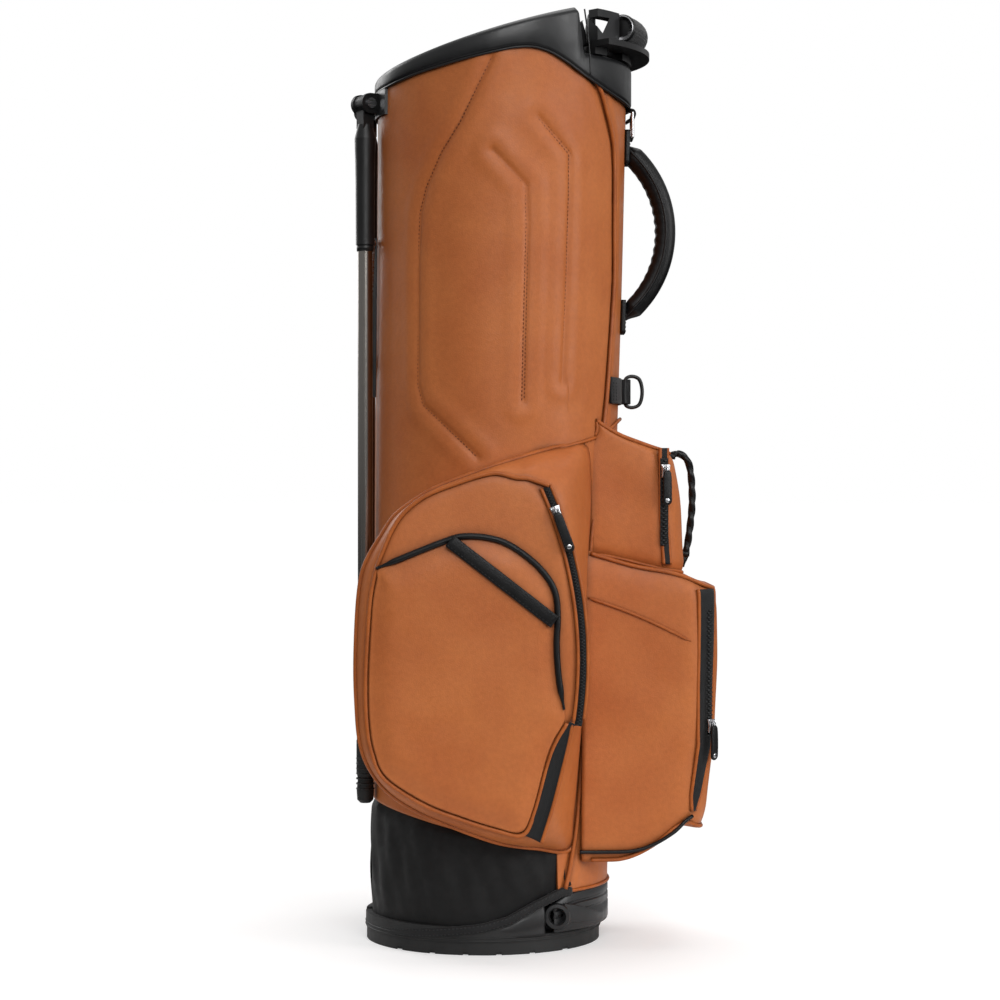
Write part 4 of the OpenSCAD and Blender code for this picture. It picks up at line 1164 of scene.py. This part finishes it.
def upper_pocket():
    pocket_skin("upper_pocket_leather", UPPER, 104, lambda x: np.minimum(380.0, lower_top(x) - 5),
                upper_top, "upper_front_pocket", 118, swell=1.0, seam_from=4)
    corner_zip("upper", UPPER, NEAR, ((486, 15, 29), (440, 15, 28), (373, 15, 28)),
               "upper_zip_track", "upper_zip_slider", "upper_zip_pull", "upper_zip", "upper_tab", 22, 194.0)


# ---------------------------------------------------------------- handles and rings
def pocket_loop():
    """Twisted leather carry loop on the front pockets, with its two end patches."""
    path = curve(((184, 478), (196, 481), (206, 470), (209, 436), (206, 402), (202, 380), (198, 369)),
                 1.2)
    n = len(path)
    run = np.arange(n) * 1.2
    pts = xyz(path[:, 0], np.zeros(n), path[:, 1])
    loop = Shape()
    fade = np.clip(np.minimum(run, run[::-1]) / 14, 0.3, 1)
    for k in range(2):
        phase = run / 30 * 2 * math.pi + k * math.pi
        off = xyz(np.cos(phase) * 0.7, np.sin(phase) * 3.4, np.zeros(n))
        loop.sweep(pts + off * fade[:, None], round_rect(7.4, 6.6, 2.9, 4), up=(1, 0, 0),
                   scale=(0.9 + 0.06 * np.cos(phase))[:, None])
    for z, x in ((478, 190), (381, 204)):
        loop.sweep(np.array([(x - 9, 0, z + 1), (x - 4, 0, z + 0.6), (x + 2, 0, z)]),
                   round_rect(15, 5, 2, 3), up=(0, 0, 1))
    loop.piece("pocket_carry_loop", BLACK, "bag", fill=0.7, node="pocket_handle")


def grab():
    """Padded leather grab handle: a bowed bar with a welt, sewn edges and creases inside the bend."""
    a = np.radians(np.linspace(-52.5, 52.5, 150))
    n = len(a)
    u = np.linspace(-1, 1, n)
    r = 106
    pts = xyz(76 + r * np.cos(a), np.zeros(n), 702 + r * np.sin(a))
    tip = np.clip((1 - np.abs(u)) / 0.14, 0, 1)
    half = 0.62 + 0.38 * smooth_step(tip)
    deep = 0.42 + 0.58 * smooth_step(tip * 0.8)
    handle = Shape()
    sec = round_rect(33, 21, 9.4, 5)
    sec3 = np.repeat(sec[None], n, 0)
    inner = sec[:, 1] < 0
    crease = 0.6 * np.sin(u * 60) * np.exp(-(u / 0.62) ** 2)
    sec3[:, inner, 1] *= (1 + 0.09 * crease[:, None])
    out = xyz(np.cos(a), np.zeros(n), np.sin(a))
    handle.sweep(pts, sec3, up=out, scale=xyz(half, deep))
    for y in (-1, 1):
        edge = pts + np.array([0, 1.0, 0]) * (y * 16.2 * half)[:, None]
        handle.sweep(edge, circle(1.5, 8))
        sew = pts + out * (8.0 * deep)[:, None] + np.array([0, 1.0, 0]) * (y * 10.5 * half)[:, None]
        handle.stitches(sew, out, length=2.6, pitch=4.4, radius=0.4, mat=1)
    handle.piece("grab_handle_leather", [BLACK, BLACK_THREAD], "bag", fill=0.9, node="grab_handle")


def anchors():
    """Leather patches that hold the grab handle's ends, sewn down both sides."""
    patch = Shape()
    for z0, z1 in ((601, 634), (770, 803)):
        z = np.linspace(z0, z1, 12)
        cx, cr = tube(z)
        pts = xyz(cx + cr + 2.0, 0 * z, z)
        patch.sweep(pts, round_rect(34, 5.0, 1.8, 3), up=(1, 0, 0))
        for y in (-13, 13):
            patch.stitches(pts + (2.6, y, 0), (1, 0, 0), length=2.6, pitch=4.2, mat=1)
    patch.piece("grab_handle_patches", [BLACK, BLACK_THREAD], "bag", node="grab_anchors")


def ring_straps():
    """Webbing bands that hold the two strap rings, and the moulded ring itself."""
    mid = joint_place("strap_ring_turn")
    cx, cr = tube(mid[2])
    lower = Shape()
    a = np.radians(np.linspace(-26, 26, 40))
    band = about(cx, cr + 1.9, a, mid[2])
    out = about(0, 1, a, 0)
    lower.sweep(band, round_rect(26, 2.2, 0.9, 3), up=out)
    for y in (-1, 1):
        for k in (2, 5):
            at = band[k if y < 0 else -1 - k] + out[k if y < 0 else -1 - k] * 1.2
            line = at + np.linspace(-10.5, 10.5, 9)[:, None] * np.array([0, 0, 1.0])
            lower.stitches(line, out[k if y < 0 else -1 - k], length=2.2, pitch=3.2, mat=1)
    b = np.linspace(0, math.pi, 15)
    x0 = cx + cr + 2.5
    fold = xyz(x0 + 8.5 * np.sin(b), 3.2 * np.cos(b), mid[2])
    lower.sweep(fold, round_rect(25, 1.8, 0.8, 3), up=xyz(np.sin(b), np.cos(b), 0 * b))
    lower.piece("strap_ring_webbing", [WEBBING, BLACK_THREAD], "bag", node="ring_strap")
    x1 = x0 + 4.5
    outline = curve([(x1, -13), (x1 + 6, -15.6), (x1 + 13, -13), (x1 + 16, -5), (x1 + 16, 5),
                     (x1 + 13, 13),
                     (x1 + 6, 15.6), (x1, 13), (x1 - 1, 5), (x1 - 1, -5)], 1.2, closed=True)[:-1]
    loop = xyz(outline[:, 0], 0 * outline[:, 0], outline[:, 1] + mid[2])
    ring = Shape().sweep(loop, round_rect(9, 3.4, 1.4, 4), up=(0, 1, 0), closed=True,
                         turn=np.full(len(loop), math.pi / 2))
    ring.piece("strap_ring_loop", DARK_PLASTIC, "strap_ring", node="d_ring")
    upper = Shape()
    a = np.linspace(-0.3, math.pi + 0.5, 26)
    x0, z0 = 148.4, 819.5
    pts = xyz(x0 + 3.2 * np.sin(a), 0 * a, z0 + 4.2 * np.cos(a))
    pts = np.vstack([[(143.5, 0, 824.5)], pts[2:-3], [(143.0, 0, 812)]])
    flat = unit(np.gradient(pts, axis=0))
    upper.sweep(pts, round_rect(23, 1.8, 0.8, 3), up=np.cross(flat, (0, 1, 0)))
    upper.piece("top_ring_webbing", WEBBING, "bag", node="top_ring_strap")


GRIP_BOW = 131                            # the lift grip follows this radius round the mouth


def lift_handle():
    """Mesh-covered lift grip bowed round the mouth between two moulded arms."""
    mid = (low("lift_grip") + high("lift_grip")) / 2
    a = np.radians(np.linspace(-27, 27, 110))
    u = np.linspace(-1, 1, 110)
    pts = about(RIM_X, GRIP_BOW, a, mid[2])
    swell = 0.96 + 0.05 * np.cos(u * math.pi / 2)
    grip = Shape().sweep(pts, circle(13.4, 24), up=(0, 0, 1), scale=swell[:, None])
    grip.piece("lift_grip_mesh", SPACER, "bag", fill=1.0, node="lift_grip")
    ends = Shape()
    seam = about(RIM_X, GRIP_BOW - 13.2, a, mid[2])
    ends.stitches(seam, unit(xyz(-np.cos(a), -np.sin(a), 0 * a)), length=2.4, pitch=4, mat=1)
    for side in (-1, 1):
        b = math.radians(27.4) * side
        at = np.array([RIM_X + GRIP_BOW * math.cos(b), GRIP_BOW * math.sin(b), mid[2]])
        along = np.array([-math.sin(b), math.cos(b), 0]) * side
        ends.lathe(((0.1, -2.4), (12.6, -2.2), (13.8, -1.2), (13.8, 0.6), (12.4, 1.6), (11.2, 1.7),
                    (11.0, 1.0),
                    (7.0, 1.5), (3.0, 1.9), (0.1, 2.0)), at, along, (0, 0, 1), 40)
        ends.lathe(((10.9, 1.2), (11.5, 2.1), (12.3, 2.0), (12.5, 1.3)), at, along, (0, 0, 1), 40, mat=2)
    ends.piece("lift_grip_ends", [DARK_PLASTIC, BLACK_THREAD, STEEL], "bag", node="lift_caps")


# ---------------------------------------------------------------- base, skirt and stand
PIN_X, PIN_Z = 72, 34.4                   # the hinge of the foot
HEM_R = 113.5


def hem_z(x):
    return np.interp(x, (-125, -120, -90, -50, 0, 25, 50, 76), (13.5, 14, 16.5, 20, 26, 33, 46, 57))


def skirt():
    """Loose nylon bellows between the leather and the foot, closed at the hem by a padded band."""
    cols, rows = 240, 44
    a = np.linspace(math.radians(48), math.radians(312), cols)
    verts = []
    for k, t in enumerate(np.linspace(0, 1, rows)):
        xb = X_HEEL + HEM_R * np.cos(a)
        top_r = R_HEEL + 0.2
        x_top = X_HEEL + top_r * np.cos(a)
        z0 = hem_z(xb) + 2
        z1 = np.where(x_top < HEEL_EDGE, skirt_line(x_top), HEEL_Z + 4) + 7
        z = z0 + (z1 - z0) * t
        belly = math.sin(t * math.pi)
        fold = 1.5 * np.sin(a * 9 + t * 2.2) + 1.1 * np.sin(a * 21 - t * 4 + 1)
        fold = (fold + 0.7 * np.sin(a * 34 + t * 9)) * belly
        tuck = -3.6 * smooth_step((t - 0.86) / 0.1)
        back = 3.5 * np.maximum(-np.cos(a), 0) * (1 - t * t)
        r = HEM_R + (top_r - HEM_R) * t + 1.8 * belly + fold * 0.8 + tuck + back
        r = np.minimum(r, 122)
        verts.append(about(X_HEEL, r, a, z))
    verts = np.array(verts)
    uv = xyz(a[None, :] * 115, verts[:, :, 2]) * MM
    faces = grid_faces(rows, cols)
    mid = verts.reshape(-1, 3)[faces].mean(1)
    slit = (mid[:, 0] < 0) & (np.abs(mid[:, 1]) < 6.5) & (mid[:, 2] < 140)
    faces = faces[~slit]                          # open behind, so the push rod passes at full lean
    cloth = Shape().add(verts, faces.tolist(), 0, uv)
    cloth = cloth.piece("bellows_skirt", NYLON, "", recalc=True)
    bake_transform(cloth)
    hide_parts("skirt")
    hem = Shape()
    r = 117 + 3.5 * np.maximum(-np.cos(a), 0)
    x = X_HEEL + r * np.cos(a)
    path = xyz(x, r * np.sin(a), hem_z(x))
    out = about(0, 1, a, 0)
    hem.sweep(path, round_rect(9.0, 5.4, 2.4, 4), up=out)
    for dz in (-2.6, 2.6):
        hem.stitches(path + out * 2.6 + (0, 0, dz), out, length=2.4, pitch=4, mat=1)
    hem.piece("base_hem_band", [WEBBING, BLACK_THREAD], "base", node="skirt_hem")


def heel_cup():
    """Moulded heel at the front of the base: a grooved shell with a swept ear over each hinge pin."""
    shell = Shape()
    n = 90
    a = np.linspace(math.radians(-58), math.radians(58), n)
    x = X_HEEL + R_HEEL * np.cos(a)
    top = np.interp(np.abs(np.degrees(a)), (0, 40, 50, 58), (57.5, 57.5, 55, 47))
    prof = np.array(((0, 3.0), (0.04, 0.6), (0.1, 0), (0.46, 0), (0.49, 1.3), (0.52, 1.3), (0.55, 0),
                     (0.68, 0.1),
                     (0.71, 1.5), (0.74, 1.5), (0.77, 0.1), (0.93, 0.3), (0.98, 1.2), (1.0, 3.4)))
    rows = []
    for f, inset in prof:
        z = low("heel_bracket")[2] + (top - low("heel_bracket")[2]) * f
        r = R_HEEL + 0.8 - inset
        rows.append(about(X_HEEL, r, a, z))
    verts = np.array(rows)
    cup = shell.add(verts, grid_faces(len(rows), n))
    for side in (-1, 1):
        pin = np.array([PIN_X, side * 86.0, PIN_Z])
        shell.lathe(((0.5, 0), (12.4, 0), (12.8, 1.0), (12.8, 12.4), (11.8, 14.4), (8.8, 14.9),
                     (7.8, 14.0),
                     (7.6, 5.6), (0.5, 5.5)), pin, (0, side, 0), (1, 0, 0), 48)
        u = np.linspace(0, 1, 26)
        ang = math.radians(53) - u * math.radians(31)
        z = 36.5 - 9.5 * smooth_step(u)
        path = xyz(X_HEEL + (R_HEEL + 1.2) * np.cos(ang), side * (R_HEEL + 1.2) * np.sin(ang), z)
        out = xyz(np.cos(ang), side * np.sin(ang), 0 * ang)
        shell.sweep(path, round_rect(20, 4.4, 1.6, 4), up=out,
                    scale=xyz(1 - 0.62 * u, np.clip(1.05 - 0.5 * u ** 3, 0.3, 1)))
    thicken(shell.piece("heel_cup", PLASTIC, "bag", recalc=True, sharp=48, node="heel_bracket"), 2.0)


def foot_trim():
    """Moulded side of the foot under the hem, its bumper beads and the core behind the treads."""
    side_wall = Shape()
    n = 220
    b = np.linspace(math.radians(62.5), math.radians(297.5), n)
    rows = []
    for t in np.linspace(0, 1, 12):
        x = X_HEEL + (R_HEEL - 2.4) * np.cos(b)
        z0, z1 = 16.5, hem_z(x) - 1
        step = 1.1 * smooth_step((t - 0.3) / 0.12) - 1.1 * smooth_step((t - 0.68) / 0.12)
        r = R_HEEL - 1.2 - 1.4 * t + step
        rows.append(about(X_HEEL, r, b, z0 + (z1 - z0) * t))
    wall = side_wall.add(np.array(rows), grid_faces(12, n))
    thicken(wall.piece("foot_side_wall", DARK_PLASTIC, "base", recalc=True), 1.6)
    core = Shape()
    c = (low("base_sole") + high("base_sole")) / 2
    core.lathe(((0.5, 0.6), (R_HEEL - 3, 0.6), (R_HEEL - 2, 1.5), (R_HEEL - 2, 11.5), (0.5, 11.5)),
               (c[0], c[1], 0),
               (0, 0, 1), (1, 0, 0), 120)
    core.piece("foot_core", RUBBER, "base", sharp=40)
    bead = Shape()
    a = np.linspace(0, 2 * math.pi, 200)[:-1]
    c = (low("base_foot") + high("base_foot")) / 2
    r = R_HEEL - 0.3
    for z in (13.4, 16.6):
        bead.sweep(xyz(c[0] + r * np.cos(a), r * np.sin(a), z), circle(0.9, 6), closed=True)
    bead.piece("foot_bumper_beads", RUBBER, "base")


def pin_heads():
    """Domed heads of the two pivot pins, seen in the counterbores of the heel."""
    for side, tag in SIDES:
        head = Shape().lathe(((6.6, 0.1), (6.6, 1.2), (5.6, 2.6), (3.6, 3.7), (1.6, 4.1), (0.2, 4.2)),
                             (PIN_X, side * 91.7, PIN_Z), (0, side, 0), (1, 0, 0), 36)
        head.piece(f"{tag}_pin_head", GUNMETAL, "base", sharp=60)


def stand_details():
    """Collars on the legs and ribs on their rubber feet."""
    for side, tag in SIDES:
        lo, hi = low(f"{tag}_leg_tube"), high(f"{tag}_leg_tube")
        mid = (lo + hi) / 2
        collar = Shape()
        r = (hi[0] - lo[0]) / 2
        for z in (low(f"{tag}_leg_housing")[2] - 3, high(f"{tag}_leg_foot")[2] + 2.5):
            collar.lathe(((r - 0.3, -3.5), (r + 0.9, -3.2), (r + 1.1, 0), (r + 0.9, 3.2), (r - 0.3, 3.5)),
                         (mid[0], mid[1], z), (0, 0, 1), (1, 0, 0), 32)
        collar.piece(f"{tag}_leg_collars", DARK_PLASTIC, f"{tag}_leg")
        lo, hi = low(f"{tag}_leg_foot"), high(f"{tag}_leg_foot")
        mid = (lo + hi) / 2
        tread = Shape()
        for k in range(7):
            z = lo[2] + 14 + k * 5
            rr = (hi[0] - lo[0]) / 2 - 0.4
            b = np.linspace(0, 2 * math.pi, 40)[:-1]
            tread.sweep(xyz(mid[0] + rr * np.cos(b), mid[1] + rr * np.sin(b), z),
                        circle(0.9, 6), closed=True)
        tread.piece(f"{tag}_leg_foot_ribs", RUBBER, f"{tag}_leg")


# ---------------------------------------------------------------- frame finishes
def finish_nodes():
    """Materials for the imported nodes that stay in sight."""
    looks = {
        RUBBER: ("base_sole", "base_foot", "foot_lip", "near_leg_foot", "far_leg_foot"),
        DARK_PLASTIC: ("foot_lugs", "bag_bottom", "leg_yoke", "near_leg_housing", "far_leg_housing",
                       "slider",
                       "spine_rail", "lift_rail", "stays", "hinge_pins"),
        PLASTIC: ("lift_arms",),
        STEEL: ("top_ring", "leg_pins", "near_link", "far_link", "push_rod"),
        LEG_METAL: ("near_leg_tube", "far_leg_tube"),
    }
    for mat, nodes in looks.items():
        for node in nodes:
            obj = frame["nodes"].get(node)
            if obj is None:
                continue
            if not obj.material_slots:
                obj.data.materials.append(mat)
            for slot in obj.material_slots:
                slot.material = mat
            if node in ROUND_EDGED:
                modify(obj, "BEVEL", width=ROUND_EDGED[node] * MM, segments=2, limit_method="ANGLE",
                       angle_limit=math.radians(40))


ROUND_EDGED = {"lift_arms": 1.2, "leg_yoke": 1.0, "foot_lugs": 0.8, "base_sole": 0.8,
               "near_leg_housing": 0.6,
               "far_leg_housing": 0.6}


# ---------------------------------------------------------------- stage
FLOOR_FADE = (0.3, 1.1)                   # the floor turns white between these distances, in metres
FLOOR_GLOW = 0.3                          # what the floor adds for the camera near the bag
FLOOR_SHADE = 0.82                        # the floor's own colour near the bag
WORLD_LIGHT = 0.42


def floor():
    mesh = bpy.data.meshes.new("floor")
    mesh.from_pydata([(-60, -60, 0), (60, -60, 0), (60, 60, 0), (-60, 60, 0)], [], [(0, 1, 2, 3)])
    obj = show("floor", mesh)
    mat = bpy.data.materials.new("floor_white")
    g = Graph(mat)
    for key, value in (("Roughness", 0.9), ("Specular IOR Level", 0.05),
                       ("Emission Color", (1, 1, 1, 1))):
        g.shader.inputs[key].default_value = value
    place = g.add("TexCoord", {}).outputs["Object"]
    away = g.add("VectorMath", {0: place}, operation="LENGTH").outputs["Value"]
    glow = g.between(away, *FLOOR_FADE, FLOOR_GLOW, 1.0, interpolation_type="SMOOTHSTEP")
    shade = g.between(away, *FLOOR_FADE, FLOOR_SHADE, 0.0, interpolation_type="SMOOTHSTEP")
    g.drive("Base Color", shade)
    g.drive("Emission Strength", g.maths("MULTIPLY", g.add("LightPath", {}).outputs["Is Camera Ray"],
                                         glow))
    mesh.materials.append(mat)


def world():
    made = bpy.data.worlds.new("studio")
    bpy.context.scene.world = made
    g = Graph(made)
    g.tree.nodes.clear()
    path = g.add("LightPath", {}).outputs
    shown = g.maths("MAXIMUM", path["Is Camera Ray"], path["Is Transmission Ray"])
    strength = g.between(shown, 0.0, 1.0, WORLD_LIGHT, 1.0)
    back = g.add("Background", {"Color": (1, 1, 1, 1), "Strength": strength})
    g.add("OutputWorld", {"Surface": back.outputs[0]})


def area_light(name, place, aim, size, power):
    data = bpy.data.lights.new(name, "AREA")
    data.shape = "RECTANGLE"
    data.size, data.size_y = size
    data.energy = power
    obj = show(name, data)
    obj.location = place
    obj.rotation_euler = (Vector(aim) - Vector(place)).to_track_quat("-Z", "Y").to_euler()


def lights():
    middle = (0.05, 0, 0.45)
    area_light("key", (0.5, -2.9, 1.9), middle, (1.6, 1.6), 44)
    area_light("fill", (2.7, -1.5, 1.2), middle, (1.4, 2.0), 38)
    area_light("top", (0.2, 0.6, 3.2), middle, (2.2, 2.2), 34)
    area_light("rim", (-1.9, 2.2, 1.6), middle, (1.2, 1.8), 26)


def camera():
    data = bpy.data.cameras.new("camera")
    obj = show("camera", data)
    data.sensor_width = 36
    data.lens = 93.6
    obj.location = (0.017, -2.6, 0.45)
    obj.rotation_euler = (math.radians(90 - 0.33), 0, 0)
    bpy.context.scene.camera = obj


def build():
    camera()
    body_skin()
    body_seams()
    heel_leather()
    cuff()
    dividers()
    divider_cloths()
    for side, tag in SIDES:
        side_pocket(side, tag)
        valuables(side, tag)
        side_zip(side, tag)
    lower_pocket()
    upper_pocket()
    pocket_loop()
    grab()
    anchors()
    ring_straps()
    lift_handle()
    skirt()
    heel_cup()
    foot_trim()
    pin_heads()
    stand_details()
    finish_nodes()
    floor()
    world()
    lights()
    bpy.context.scene.view_settings.view_transform = "Standard"


build()
bpy.context.view_layer.update()
